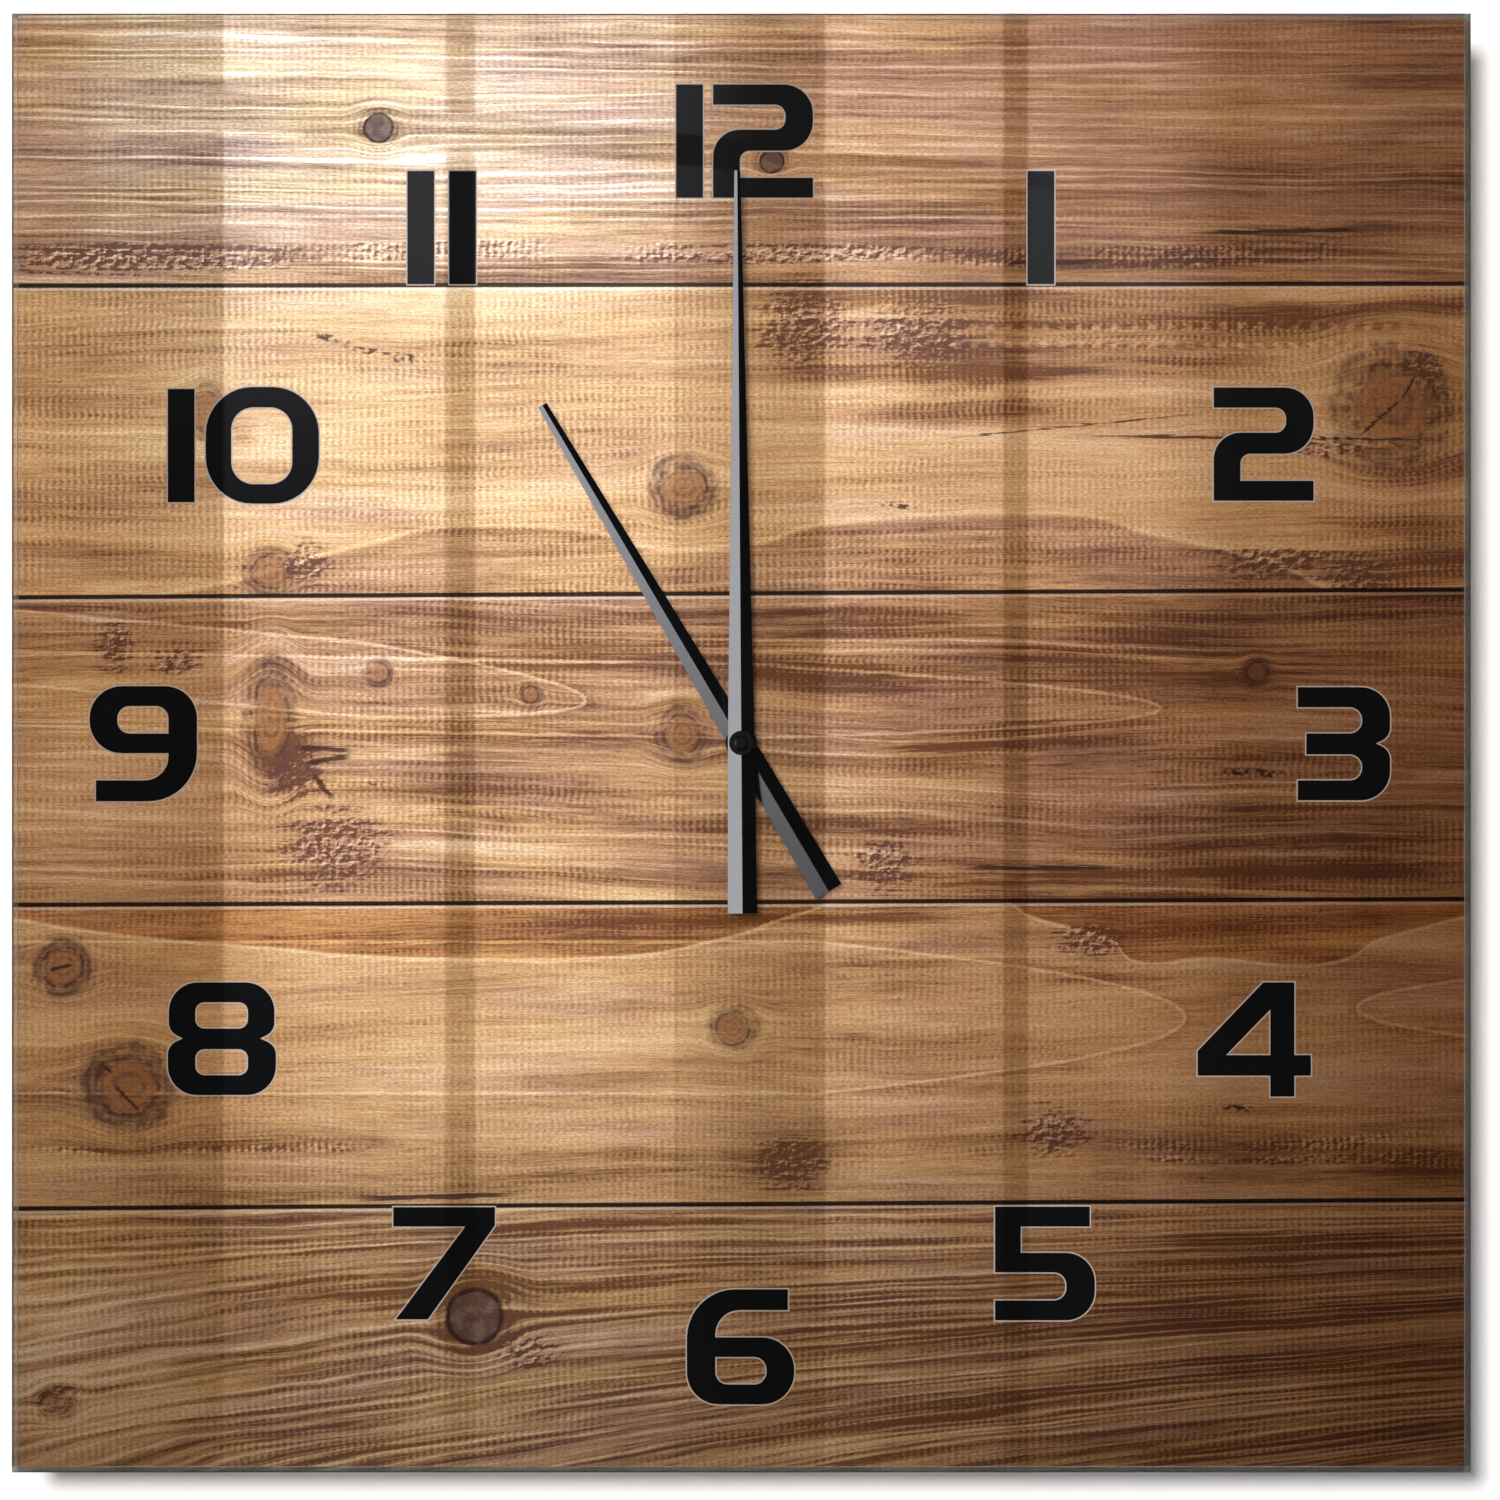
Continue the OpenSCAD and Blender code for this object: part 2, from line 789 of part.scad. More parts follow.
module battery_contact_positive() {
    tab_y = room_top - tab_drop;
    color("Gainsboro") {
        slab(cell_z - contact_reach / 2, cell_z + contact_reach / 2)
            intersection() {
                wall_band();
                translate([0, cell_y - contact_h / 2])
                    square([case_w, contact_h]);
            }
        slab(z_board_top, z_board_top + strip_w)
            intersection() {
                wall_band();
                translate([0, cell_y])
                    square([case_w, tab_y - cell_y]);
            }
        block(
            [contact_x - tab_len, tab_y - strip_w, z_board_top],
            [contact_x + contact_thk / 2, tab_y, z_board_top + contact_thk]
        );
    }
}

module battery_contact_negative() {
    tab_x = side_x - tab_in;
    bow = cell_end - seat + contact_x;
    back = -contact_thk / 2;
    half = contact_h / 2;
    tip = 1;
    tip_in = 0.8;
    root = 0.6;
    color("Gainsboro") {
        slab(cell_z - contact_reach / 2, cell_z + contact_reach / 2) {
            intersection() {
                wall_band();
                translate([-case_w, cell_y - contact_h / 2])
                    square([case_w, contact_h]);
            }
            translate([-contact_x, cell_y])
                polygon([
                    [back, -half], [0, -half], [bow, -tip], [bow, tip], [0, half], [back, half],
                    [back, half - root], [bow - contact_thk, tip_in], [bow - contact_thk, -tip_in],
                    [back, root - half]
                ]);
        }
        slab(z_board_top, z_board_top + strip_w)
            intersection() {
                wall_band();
                union() {
                    translate([-case_w, cell_y])
                        square([case_w, case_top - cell_y]);
                    translate([-case_w, room_top - inner_corner])
                        square([case_w + tab_x, case_top]);
                }
            }
        block(
            [tab_x - strip_w, room_top - tab_len, z_board_top],
            [tab_x, room_top - strip_gap - contact_thk / 2, z_board_top + contact_thk]
        );
    }
}

module circuit_board() {
    color("SaddleBrown")
        difference() {
            slab(z_board, z_board_top)
                translate(board_at)
                square([board_w, board_h]);
            for (p = board_posts) {
                rod_at(p, peg_r + fit, z_board - cut, z_board_top + cut);
            }
        }
}

module quartz_crystal() {
    can_r = 1;
    can_len = 6;
    place = board_at + [4, 5.4];
    color("Silver")
        translate([place[0], place[1], z_board - can_r])
        rotate([0, 90, 0])
        cylinder(r = can_r, h = can_len);
}

module chip_blob() {
    blob_r = 2;
    blob_h = 1;
    place = board_at + [7, 2.2];
    color("Black")
        translate([place[0], place[1], z_board])
        mirror([0, 0, 1])
        rotate_extrude()
        polygon([[0, 0], [blob_r, 0], [blob_r * 0.9, blob_h * 0.5], [blob_r * 0.6, blob_h * 0.85], [0, blob_h]]);
}

// Turns a piece drawn along z so that it lies along the coil
module along_coil() {
    translate([coil_x, coil_y, z_core + lamination / 2])
        rotate([0, 90, 0])
        children();
}

module coil_bobbin() {
    half = bobbin_len / 2;
    color("Ivory")
        along_coil()
        difference() {
            union() {
                rod(bobbin_tube_r, -half, half);
                rod(bobbin_d / 2, -half, flange_thk - half);
                rod(bobbin_d / 2, half - flange_thk, half);
            }
            cube([lamination + 2 * bobbin_bore, core_w + 2 * bobbin_bore, bobbin_len + cut], center = true);
        }
}

module coil_winding() {
    half = bobbin_len / 2 - flange_thk - seat;
    below_flange = 0.3;
    color("Chocolate")
        along_coil()
        difference() {
            rod(bobbin_d / 2 - below_flange, -half, half);
            rod(bobbin_tube_r + seat, -half - cut, half + cut);
        }
}

module coil_core() {
    reach = leg_x + leg_w / 2;
    color("LightSlateGray")
        difference() {
            block(
                [coil_x - reach, coil_y - core_w / 2, z_core],
                [coil_x + reach, coil_y + core_w / 2, z_core + lamination]
            );
            for (p = [leg_left, leg_right]) {
                rod_at(p, peg_r + fit, z_core - cut, z_core + lamination + cut);
            }
        }
}

module stator() {
    eye_r = magnet_d / 2 + air_gap;
    foot = [1.2, 1.6];
    left_knee = leg_left - [0, leg_knee];
    right_knee = leg_right - [0, leg_knee];
    left_foot = rotor_at + [-foot[0], foot[1]];
    right_foot = rotor_at + foot;
    color("LightSlateGray")
        difference() {
            slab(z_stator, z_core) {
                translate(rotor_at)
                    circle(eye_r + stator_rim);
                bar(left_foot, left_knee, leg_w, leg_eye);
                bar(left_knee, leg_left, leg_w, leg_eye);
                bar(right_foot, right_knee, leg_w, leg_eye);
                bar(right_knee, leg_right, leg_w, leg_eye);
            }
            rod_at(rotor_at, eye_r, z_stator - cut, z_core + cut);
            for (p = [leg_left, leg_right]) {
                rod_at(p, peg_r + fit, z_stator - cut, z_core + cut);
            }
        }
}

module rotor() {
    color("DarkSlateGray")
        translate([rotor_at[0], rotor_at[1], 0]) {
            arbor(rotor_bearing(), bearing_depth);
            pinion(rotor_module, rotor_leaves, intermediate_layer, rotor_turn);
            rod(magnet_d / 2, z_magnet, z_magnet + magnet_len);
        }
}

module intermediate_wheel() {
    color("Ivory")
        translate([intermediate_at[0], intermediate_at[1], 0]) {
            arbor(z_boss, bearing_depth);
            wheel(rotor_module, intermediate_teeth, intermediate_layer, 0, 0);
            pinion(second_module, intermediate_leaves, second_layer, intermediate_turn);
        }
}

module second_wheel() {
    color("Ivory") {
        rod(arbor_r, z_bridge + bridge_thk + shake, z_minute_top + shaft_proud - shake);
        rod(pivot_r, z_bridge + shake, z_in);
        wheel(second_module, second_teeth, second_layer, 0, 5);
        pinion(third_module, second_leaves, third_layer, 0);
    }
}

module third_wheel() {
    color("Ivory")
        translate([third_at[0], third_at[1], 0]) {
            arbor(z_boss, bearing_depth);
            wheel(third_module, third_teeth, third_layer, third_turn, 5);
            pinion(centre_module, third_leaves, centre_layer, 0);
        }
}

module centre_wheel() {
    color("Ivory")
        difference() {
            wheel(centre_module, centre_teeth, centre_layer, centre_turn, 5);
            rod(cannon_seat_r + fit, layer_z(centre_layer) - cut, layer_top(centre_layer) + cut);
        }
}

spring_thk = 0.2;
spring_r = 2.2;
spring_z = layer_z(centre_layer) - fit - spring_thk;

module clutch_spring() {
    tongue_w = 1.2;
    tongue_reach = 3.6;
    color("Gold")
        slab(spring_z, spring_z + spring_thk)
        difference() {
            union() {
                circle(spring_r);
                for (a = [0, 120, 240]) {
                    bar([0, 0], polar(tongue_reach, a), tongue_w);
                }
            }
            circle(cannon_seat_r + seat);
        }
}

module cannon_pinion() {
    sleeve_low = spring_z - shake;
    color("Ivory")
        difference() {
            union() {
                rod(cannon_seat_r, sleeve_low, layer_z(motion_layer));
                pinion(motion_module, cannon_teeth, motion_layer, 0);
                rod(cannon_r, layer_z(motion_layer), z_minute_hub - seat);
                rod(cannon_seat_r, z_minute_hub - cut, z_minute_top + shaft_proud);
            }
            rod(cannon_bore_r, sleeve_low - cut, z_minute_top + shaft_proud + cut);
        }
}

module motion_wheel() {
    color("Ivory")
        translate([motion_at[0], motion_at[1], 0]) {
            arbor(z_in, wall_bearing);
            wheel(motion_module, motion_teeth, motion_layer, motion_turn, 5);
            pinion(hour_module, motion_leaves, hour_layer, 0);
        }
}

module hour_wheel() {
    color("Ivory")
        difference() {
            union() {
                wheel(hour_module, hour_teeth, hour_layer, hour_turn, 5);
                rod(hour_tube_r, layer_z(hour_layer), z_hour_hub - seat);
                rod(hour_seat_r, z_hour_hub - cut, z_hour_ridge);
            }
            rod(hour_bore_r, layer_z(hour_layer) - cut, z_hour_ridge + cut);
        }
}

module setting_knob() {
    grips = 20;
    grip_r = 0.45;
    color("DimGray")
        translate([knob_at[0], knob_at[1], 0]) {
            difference() {
                rod(knob_d / 2, z_knob, z_knob + knob_thk);
                for (i = [0:grips - 1]) {
                    rotate(360 * i / grips)
                        translate([knob_d / 2, 0, 0])
                        rod(grip_r, z_knob - cut, z_knob + knob_thk + cut);
                }
            }
            rod(stem_r, z_knob, z_well + well_floor + stem_tail);
            rod(knob_shaft_r, z_knob, knob_bearing() - shake);
            rod(knob_pivot_r, z_knob, knob_bearing() + bearing_depth - shake);
            pinion(motion_module, knob_teeth, motion_layer, knob_turn);
        }
}

// Hand folded to a roof about its long axis, narrowing to its tip
module folded_hand(reach, tail, tip_w, mid_w, tail_w, z_ridge) {
    half = tail_w / 2 + cut;
    low = z_ridge - half * tan(fold_slope);
    intersection() {
        translate([0, reach, 0])
            rotate([90, 0, 0])
            linear_extrude(reach + tail)
            polygon([
                [-half, low], [0, z_ridge], [half, low],
                [half, low - sheet_rise], [0, z_ridge - sheet_rise], [-half, low - sheet_rise]
            ]);
        slab(z_front, z_ridge + cut)
            polygon([
                [-tip_w / 2, reach], [tip_w / 2, reach], [mid_w / 2, 0], [tail_w / 2, -tail],
                [-tail_w / 2, -tail], [-mid_w / 2, 0]
            ]);
    }
}

module hour_hand() {
    color("Black")
        rotate(-hour_angle)
        difference() {
            union() {
                folded_hand(hour_reach, hour_tail, hour_tip_w, hour_mid_w, hour_tail_w, z_hour_ridge);
                rod(hour_hub_r, z_hour_hub, z_hour_ridge - hub_below);
            }
            rod(hour_seat_r + seat, z_front, z_hour_ridge + cut);
        }
}

module minute_hand() {
    color("Black")
        rotate(-minute_angle)
        difference() {
            union() {
                folded_hand(minute_reach, minute_tail, minute_tip_w, minute_mid_w, minute_tail_w, z_minute_ridge);
                rod(minute_hub_d / 2, z_minute_hub, z_minute_top);
            }
            rod(cannon_seat_r + seat, z_front, z_minute_top + cut);
        }
}

module hand_cap() {
    r = cap_d / 2;
    recess_r = cannon_seat_r + seat;
    color("Black")
        translate([0, 0, z_minute_top])
        rotate_extrude()
        polygon([
            [recess_r, 0], [r, 0],
            for (a = [0:22.5:90]) [r - cap_round, cap_thk - cap_round] + polar(cap_round, a),
            [0, cap_thk], [0, cap_recess], [recess_r, cap_recess]
        ]);
}

// Soft bumpers stuck to the back of the panel near its lower corners
module wall_spacers() {
    r = spacer_d / 2;
    foot_r = r - 1.9;
    foot_round = 0.7;
    foot_h = 1;
    dimple_r = 3;
    dimple = 1.5;
    flange = 2;
    place = panel_size / 2 - spacer_inset;
    color("WhiteSmoke")
        for (x = [-place, place]) {
            translate([x, -place, 0])
                rotate_extrude()
                polygon([
                    [dimple_r, 0], [foot_r, 0], [foot_r + foot_round, foot_h], [r, z_print - flange],
                    [r, z_print], [0, z_print], [0, dimple], [dimple_r - foot_round, dimple]
                ]);
        }
}

// Stands the clock up: the dial looks to -Y and the keyhole's round end is at the origin
module upright() {
    translate([0, 0, -key_y])
        rotate([90, 0, 0])
        children();
}

upright() glass_panel();
upright() dial_print();
upright() mounting_pad();
upright() hanger_plate();
upright() front_case();
upright() rear_cover();
upright() gear_bridge();
upright() battery();
upright() battery_contact_positive();
upright() battery_contact_negative();
upright() circuit_board();
upright() quartz_crystal();
upright() chip_blob();
upright() coil_bobbin();
upright() coil_winding();
upright() coil_core();
upright() stator();
upright() rotor();
upright() intermediate_wheel();
upright() second_wheel();
upright() third_wheel();
upright() centre_wheel();
upright() clutch_spring();
upright() cannon_pinion();
upright() motion_wheel();
upright() hour_wheel();
upright() setting_knob();
upright() hour_hand();
upright() minute_hand();
upright() hand_cap();
upright() wall_spacers();
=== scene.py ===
"""Glass wall clock: printed face, materials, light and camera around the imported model."""
import math

import bmesh
import bpy
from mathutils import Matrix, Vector


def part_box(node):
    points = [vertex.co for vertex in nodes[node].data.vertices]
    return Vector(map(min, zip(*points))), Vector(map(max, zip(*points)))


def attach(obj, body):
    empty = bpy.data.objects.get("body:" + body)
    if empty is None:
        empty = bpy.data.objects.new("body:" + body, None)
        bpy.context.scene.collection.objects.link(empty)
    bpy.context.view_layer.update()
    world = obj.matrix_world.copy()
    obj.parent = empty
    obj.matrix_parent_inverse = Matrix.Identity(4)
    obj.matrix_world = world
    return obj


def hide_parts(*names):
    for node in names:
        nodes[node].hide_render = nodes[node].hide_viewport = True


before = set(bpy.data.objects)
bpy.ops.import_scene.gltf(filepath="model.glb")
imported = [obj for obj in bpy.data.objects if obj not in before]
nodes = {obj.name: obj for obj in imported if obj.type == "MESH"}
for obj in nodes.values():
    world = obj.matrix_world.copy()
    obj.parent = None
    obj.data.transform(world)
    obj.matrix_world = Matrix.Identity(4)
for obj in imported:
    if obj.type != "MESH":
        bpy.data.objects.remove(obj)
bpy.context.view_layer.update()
scene = bpy.context.scene

MM = 0.001

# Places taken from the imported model
cap_low, cap_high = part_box("hand_cap")
glass_low, glass_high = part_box("glass_panel")
print_low, print_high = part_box("dial_print")
AXIS = (cap_low + cap_high) / 2
PANEL_FRONT = glass_low.y

# Camera straight in front, a little right of and below the hand axis
CAMERA_AWAY = 2.5
CAMERA_SIDE = 1.79 * MM
CAMERA_DROP = 1.44 * MM
VIEW_WIDTH = 308.3 * MM
CAMERA_REACH = 50.0


def new_object(name, data):
    """An object in the scene for a mesh, curve, lamp or camera."""
    thing = bpy.data.objects.new(name, data)
    scene.collection.objects.link(thing)
    return thing


# Numbers in a node tree
class Value:
    """A socket of a node tree that takes the usual signs of arithmetic."""

    def __init__(self, tree, socket):
        self.tree = tree
        self.socket = socket

    def __add__(self, other):
        return calc("ADD", self, other)

    def __radd__(self, other):
        return calc("ADD", other, self)

    def __sub__(self, other):
        return calc("SUBTRACT", self, other)

    def __rsub__(self, other):
        return calc("SUBTRACT", other, self)

    def __mul__(self, other):
        return calc("MULTIPLY", self, other)

    def __truediv__(self, other):
        return calc("DIVIDE", self, other)

    def __pow__(self, other):
        return calc("POWER", self, other)

    def __abs__(self):
        return calc("ABSOLUTE", self)


def feed(socket, value):
    """Links a Value to a socket, or sets the socket to a plain number or colour."""
    if isinstance(value, Value):
        value.tree.links.new(value.socket, socket)
    elif isinstance(value, tuple) and len(value) == 3 and socket.type == "RGBA":
        socket.default_value = (*value, 1.0)
    else:
        socket.default_value = value


def make(kind, inputs, output=0, **settings):
    """One node with its settings and inputs; gives one of its outputs."""
    tree = next(value.tree for value in inputs.values() if isinstance(value, Value))
    node = tree.nodes.new("ShaderNode" + kind)
    for setting, value in settings.items():
        setattr(node, setting, value)
    for socket, value in inputs.items():
        feed(node.inputs[socket], value)
    return Value(tree, node.outputs[output])


def calc(operation, *values):
    """One step of arithmetic."""
    return make("Math", dict(enumerate(values)), operation=operation)


def soft(value, low, high):
    """A smooth step from 0 at low to 1 at high."""
    inputs = {"Value": value, "From Min": low, "From Max": high}
    return make("MapRange", inputs, interpolation_type="SMOOTHSTEP")


def bell(value, half, edge):
    """1 within half of zero, falling to 0 over edge."""
    return soft(abs(value), half + edge, half)


def joined(x, y, z=0.0):
    """Three numbers as one vector."""
    return make("CombineXYZ", {"X": x, "Y": y, "Z": z})


def length(x, y):
    """The length of the vector with these two parts."""
    return make("VectorMath", {0: joined(x, y)}, "Value", operation="LENGTH")


def noise(x, y, z, detail=2.0, dimensions="3D"):
    """Smooth noise from 0 to 1, with 0.5 as its middle."""
    inputs = {"Vector": joined(x, y, z), "Scale": 1.0, "Detail": detail}
    return make("TexNoise", inputs, noise_dimensions=dimensions)


def flat_noise(x, y, detail=1.0):
    """Smooth noise over two numbers."""
    return noise(x, y, 0.0, detail, "2D")


def grain(size, x, up, shift=0.0):
    """Flat noise of a size across and up, with a number of finer layers; shift moves it up."""
    wide, high, detail = size
    return flat_noise(x / wide, up / high + shift, detail)


def ramp(factor, *stops):
    """A colour from a factor; each stop is (place, colour)."""
    node = factor.tree.nodes.new("ShaderNodeValToRGB")
    elements = node.color_ramp.elements
    while len(elements) < len(stops):
        elements.new(0.5)
    for element, (place, colour) in zip(elements, stops):
        element.position = place
        element.color = (*colour, 1.0)
    feed(node.inputs[0], factor)
    return Value(factor.tree, node.outputs[0])


def curve(value, stops):
    """A number that follows the stops (place, height)."""
    low = stops[0][0]
    high = stops[-1][0]
    node = value.tree.nodes.new("ShaderNodeFloatCurve")
    points = node.mapping.curves[0].points
    bottom = min(height for _, height in stops)
    top = max(height for _, height in stops)
    spots = [((place - low) / (high - low), (height - bottom) / (top - bottom)) for place, height in stops]
    for spot in spots[1:-1]:
        points.new(*spot)
    for point, spot in zip(points, spots):
        point.location = spot
    node.mapping.update()
    feed(node.inputs["Value"], (value - low) / (high - low))
    return Value(value.tree, node.outputs[0]) * (top - bottom) + bottom


def mix(factor, a, b, kind="MIX"):
    """Colour a with colour b laid over it by the factor."""
    return make("Mix", {0: factor, 6: a, 7: b}, 2, data_type="RGBA", blend_type=kind)


def coordinates(tree, kind):
    """The three parts of one kind of texture coordinate."""
    source = tree.nodes.new("ShaderNodeTexCoord")
    parts = tree.nodes.new("ShaderNodeSeparateXYZ")
    tree.links.new(source.outputs[kind], parts.inputs[0])
    return [Value(tree, socket) for socket in parts.outputs]


def place_in(tree):
    """The point's place in mm: across from the hand axis, in depth from the wall, up from the axis."""
    across, depth, up = coordinates(tree, "Object")
    return across / MM, depth / MM, (up - AXIS.z) / MM


def new_material(name, **settings):
    """A material, its Principled shader and the point's place; underscores in settings stand for spaces."""
    material = bpy.data.materials.new(name)
    material.use_nodes = True
    shader = material.node_tree.nodes["Principled BSDF"]
    for setting, value in settings.items():
        feed(shader.inputs[setting.replace("_", " ")], value)
    return material, shader, place_in(material.node_tree)


def set_look(shader, colour, rough, relief=None, depth=0.0):
    """Colour and roughness and, where it is given, fine relief of a depth in the shading."""
    feed(shader.inputs["Base Color"], colour)
    feed(shader.inputs["Roughness"], rough)
    if relief:
        feed(shader.inputs["Normal"], make("Bump", {"Strength": 0.5, "Distance": depth, "Height": relief}))


# The printed planks: gaps between them as (height at the axis, rise per mm across), in mm
GAPS = ((94.3, 0.0014), (30.8, 0.0055), (-32.7, 0.0041), (-94.85, 0.0062))
GAP_HALF = 0.34
GAP_EDGE = 0.22
GLINT_DROP = 0.82
GLINT_HALF = 0.16
RIPPLE_PITCH = 1.44

# One number per plank, from the top plank down
PLANK_TONE = (0.48, 0.58, 0.44, 0.54, 0.40)
PLANK_FADE = (0.95, 0.70, 1.15, 1.05, 1.0)
PLANK_RED = (0.62, 0.18, 0.52, 0.20, 0.40)
PLANK_RIPPLE = (0.45, 1.0, 0.85, 0.65, 0.75)
PLANK_PALE = (0.34, 0.10, 0.24, 0.10, 0.30)
PLANK_DARK = (0.16, 0.05, 0.12, 0.06, 0.30)
PLANK_STREAK = (0.80, 0.50, 0.75, 0.42, 1.0)
PLANK_PITCH = (0.46, 0.27, 0.30, 0.27, 0.60)
PLANK_WAVE = (3.0, 5.0, 7.0, 6.0, 4.0)
PLANK_TILT = (-0.004, 0.006, -0.010, 0.012, 0.015)
# The grain of the lowest plank turns up to the right: rise per mm across, for each mm down
LOW_FAN = 0.0027

# Round knots: across, up, half width, half height (mm), how dark the core is
KNOTS = {
    "top_left": (-74.7, 126.6, 2.9, 2.9, 0.9),
    "top_middle": (6.3, 119.6, 2.4, 2.2, 0.9),
    "by_zero": (-110.2, 68.2, 2.8, 4, 0.5),
    "ringed_middle": (-12, 52.6, 4.6, 4.4, 0.74),
    "under_ten": (-97, 35.4, 3.6, 3.4, 0.5),
    "right_edge": (133.8, 69.5, 8.6, 8.6, 0.52),
    "left_tall": (-96.9, 4.7, 3.6, 8.5, 0.5),
    "ringed_small": (-74.7, 14.4, 2, 2, 0.75),
    "loop_left": (-43.4, 9.9, 1.6, 1.6, 0.6),
    "beside_hub": (-12.2, 1.6, 3.6, 4, 0.45),
    "above_three": (106, 14.6, 2.1, 2, 0.8),
    "left_edge": (-139.6, -46.2, 4, 4, 0.75),
    "by_eight": (-126.3, -70.7, 6.2, 6, 0.74),
    "below_hub": (-1.5, -58.4, 3.6, 3.2, 0.6),
    "by_seven": (-54.9, -118, 5.6, 5.6, 1),
    "bottom_left": (-140.7, -135.7, 3, 2.4, 0.4),
}
# Rough torn places: across, up, half width, half height (mm)
BARK = {
    "top_left_row": (-125, 99.6, 26, 3.2),
    "top_middle_row": (10, 100.4, 34, 1.8),
    "by_minute_hand": (13, 86, 9, 8.5),
    "right_of_minute": (36, 84, 11, 7),
    "by_right_knot": (140, 75, 4.5, 5.5),
    "under_right_knot": (119, 60.4, 10, 1.6),
    "under_two": (109, 37.6, 12, 3.2),
    "under_two_right": (126, 35, 7, 3.5),
    "by_under_ten": (-89.6, 36.6, 4.2, 4.4),
    "left_scar": (-91.5, -6, 5, 5.5),
    "left_scar_tail": (-83, -21, 9.5, 7.5),
    "hour_tail": (29.5, -25.1, 5.5, 5.5),
    "right_of_six": (64.7, -80.2, 6.5, 5),
    "middle_low": (10.2, -86.5, 7, 5),
    "by_round_knot": (-44, -125, 7, 4),
    "left_arc": (-129, 20, 3.6, 5),
    "left_arc_low": (-116, 17, 5, 2.6),
    "wedge_right": (72, -41, 7, 3.4),
    "bottom_left": (-140.7, -135.7, 4.5, 3),
}
# Soft stains, pale where the strength is negative: across, up, half width, half height (mm), strength
STAINS = {
    "right_of_minute": (44, 81, 22, 14, 0.5),
    "under_minute": (14, 84, 14, 12, 0.32),
    "plank_one_low": (-60, 99, 90, 5, 0.14),
    "plank_one_low_right": (118, 103, 26, 5, 0.26),
    "plank_one_pale": (50, 128, 18, 10, -0.26),
    "plank_one_corner": (130, 139, 20, 9, 0.16),
    "plank_two_left": (-135, 62, 22, 26, 0.14),
    "plank_one_right": (75, 113, 60, 6, 0.1),
    "right_row": (102, 84, 50, 9, 0.42),
    "in_zero": (-103, 63.3, 4.5, 3.5, 0.4),
    "left_row": (-95, 76, 16, 5, 0.16),
    "gold_right": (88, 58, 34, 9, -0.2),
    "foot_right": (138, 38, 22, 8, 0.34),
    "foot_left": (-140, 35, 24, 6, 0.22),
    "by_eight": (-134, -70, 18, 10, 0.16),
    "eight_foot": (-106, -87, 26, 8, 0.2),
    "right_knot": (143, 66, 16, 22, 0.2),
    "right_knot_pale": (121, 66, 9, 5, -0.24),
    "ringed_knot": (-10, 49, 20, 8, 0.16),
    "foot_middle": (12, 35, 18, 4, -0.26),
    "foot_by_ten": (-70, 35.5, 15, 3.5, -0.2),
    "middle_low": (12, -86, 14, 6, 0.4),
    "left_tall": (-95, 5, 8, 13, 0.24),
    "left_scar": (-92.5, -6, 5, 6, 0.3),
    "plank_three_top": (20, 26, 80, 3.6, 0.22),
    "plank_three_left": (-128, -12, 26, 20, -0.24),
    "left_of_hub": (-59, -9, 12, 9, 0.14),
    "right_of_hub": (39, -4, 9, 4, 0.26),
    "plank_three_foot": (105, -28, 44, 6, 0.22),
    "plank_four_top": (29, -34.5, 18, 4, 0.24),
    "plank_four_pale": (98, -44, 16, 4.5, -0.22),
    "plank_four_middle": (-10, -53, 50, 10, 0.12),
    "plank_four_corner": (140, -83, 14, 6, 0.24),
    "plank_three_right": (64, 17, 56, 9, 0.28),
    "plank_three_middle": (-25, 16, 40, 7, 0.16),
    "plank_three_low": (56, -6, 40, 18, 0.14),
    "hub_left": (-55, -27, 60, 6, 0.14),
    "plank_four_right": (62, -38, 60, 9, 0.22),
    "plank_four_low": (70, -84, 90, 8, 0.16),
    "round_knot": (-56, -113, 16, 8, 0.16),
    "low_middle": (-58, -84, 30, 5, 0.12),
    "low_right": (105, -114, 40, 10, 0.18),
    "bottom_left": (-138, -126, 28, 22, -0.42),
    "bottom_middle": (29, -139, 22, 9, 0.22),
    "bottom_by_seven": (-79, -143, 22, 6, 0.16),
}
# Cracks: start across and up, end across and up, half thickness (mm)
CRACKS = {
    "under_three": (43.1, -25.8, 79.5, -25.6, 0.34),
    "above_seven": (-81, -93.9, -44.7, -92.8, 0.42),
    "top_right": (91.2, 105, 130.3, 105.6, 0.3),
    "top_middle": (53.2, 98.6, 75.2, 99.2, 0.28),
    "right_knot": (126.6, 62.9, 136.4, 71.2, 0.16),
    "right_knot_up": (136, 70.5, 138.6, 76, 0.14),
    "right_line": (66, 63.2, 149, 62.3, 0.1),
    "upper_line": (40, 62.5, 97, 68, 0.06),
    "by_eight": (-129.3, -70.1, -123.6, -76, 0.18),
    "by_eight_up": (-129.6, -68, -131, -66.5, 0.25),
    "left_edge": (-142.5, -47, -137.4, -45.4, 0.24),
    "scar_top": (-92.1, -1, -79.8, -1.4, 0.42),
    "scar_second": (-90, -4.3, -80, -2.6, 0.42),
    "scar_curve": (-88.5, -6, -83.9, -11.7, 0.42),
}
# Dotted marks, in the same numbers
MARKS = {
    "left_of_three": (97, -6, 114, -6.4, 0.6),
    "scar_dash": (-77, -8.2, -73.6, -8.2, 0.3),
    "small_mark": (28, 49.6, 36.5, 48.2, 0.4),
    "dots_left": (-88, 84.6, -80, 81.6, 0.7),
    "dots_middle": (-81, 81.4, -71, 79.6, 0.4),
    "dots_right": (-72, 79.4, -67, 79.2, 0.8),
    "above_four": (98, -74.6, 106, -75.4, 0.5),
}
# Rows of torn dashes: from, to (across), height, half height (mm)
TORN_ROWS = {
    "top_plank": (-150, 128, 100.8, 1.7),
    "low_upper": (72, 149, -82, 0.7),
    "low_lower": (78, 149, -85.1, 0.7),
    "low_left": (-150, -70, -83, 0.7),
}
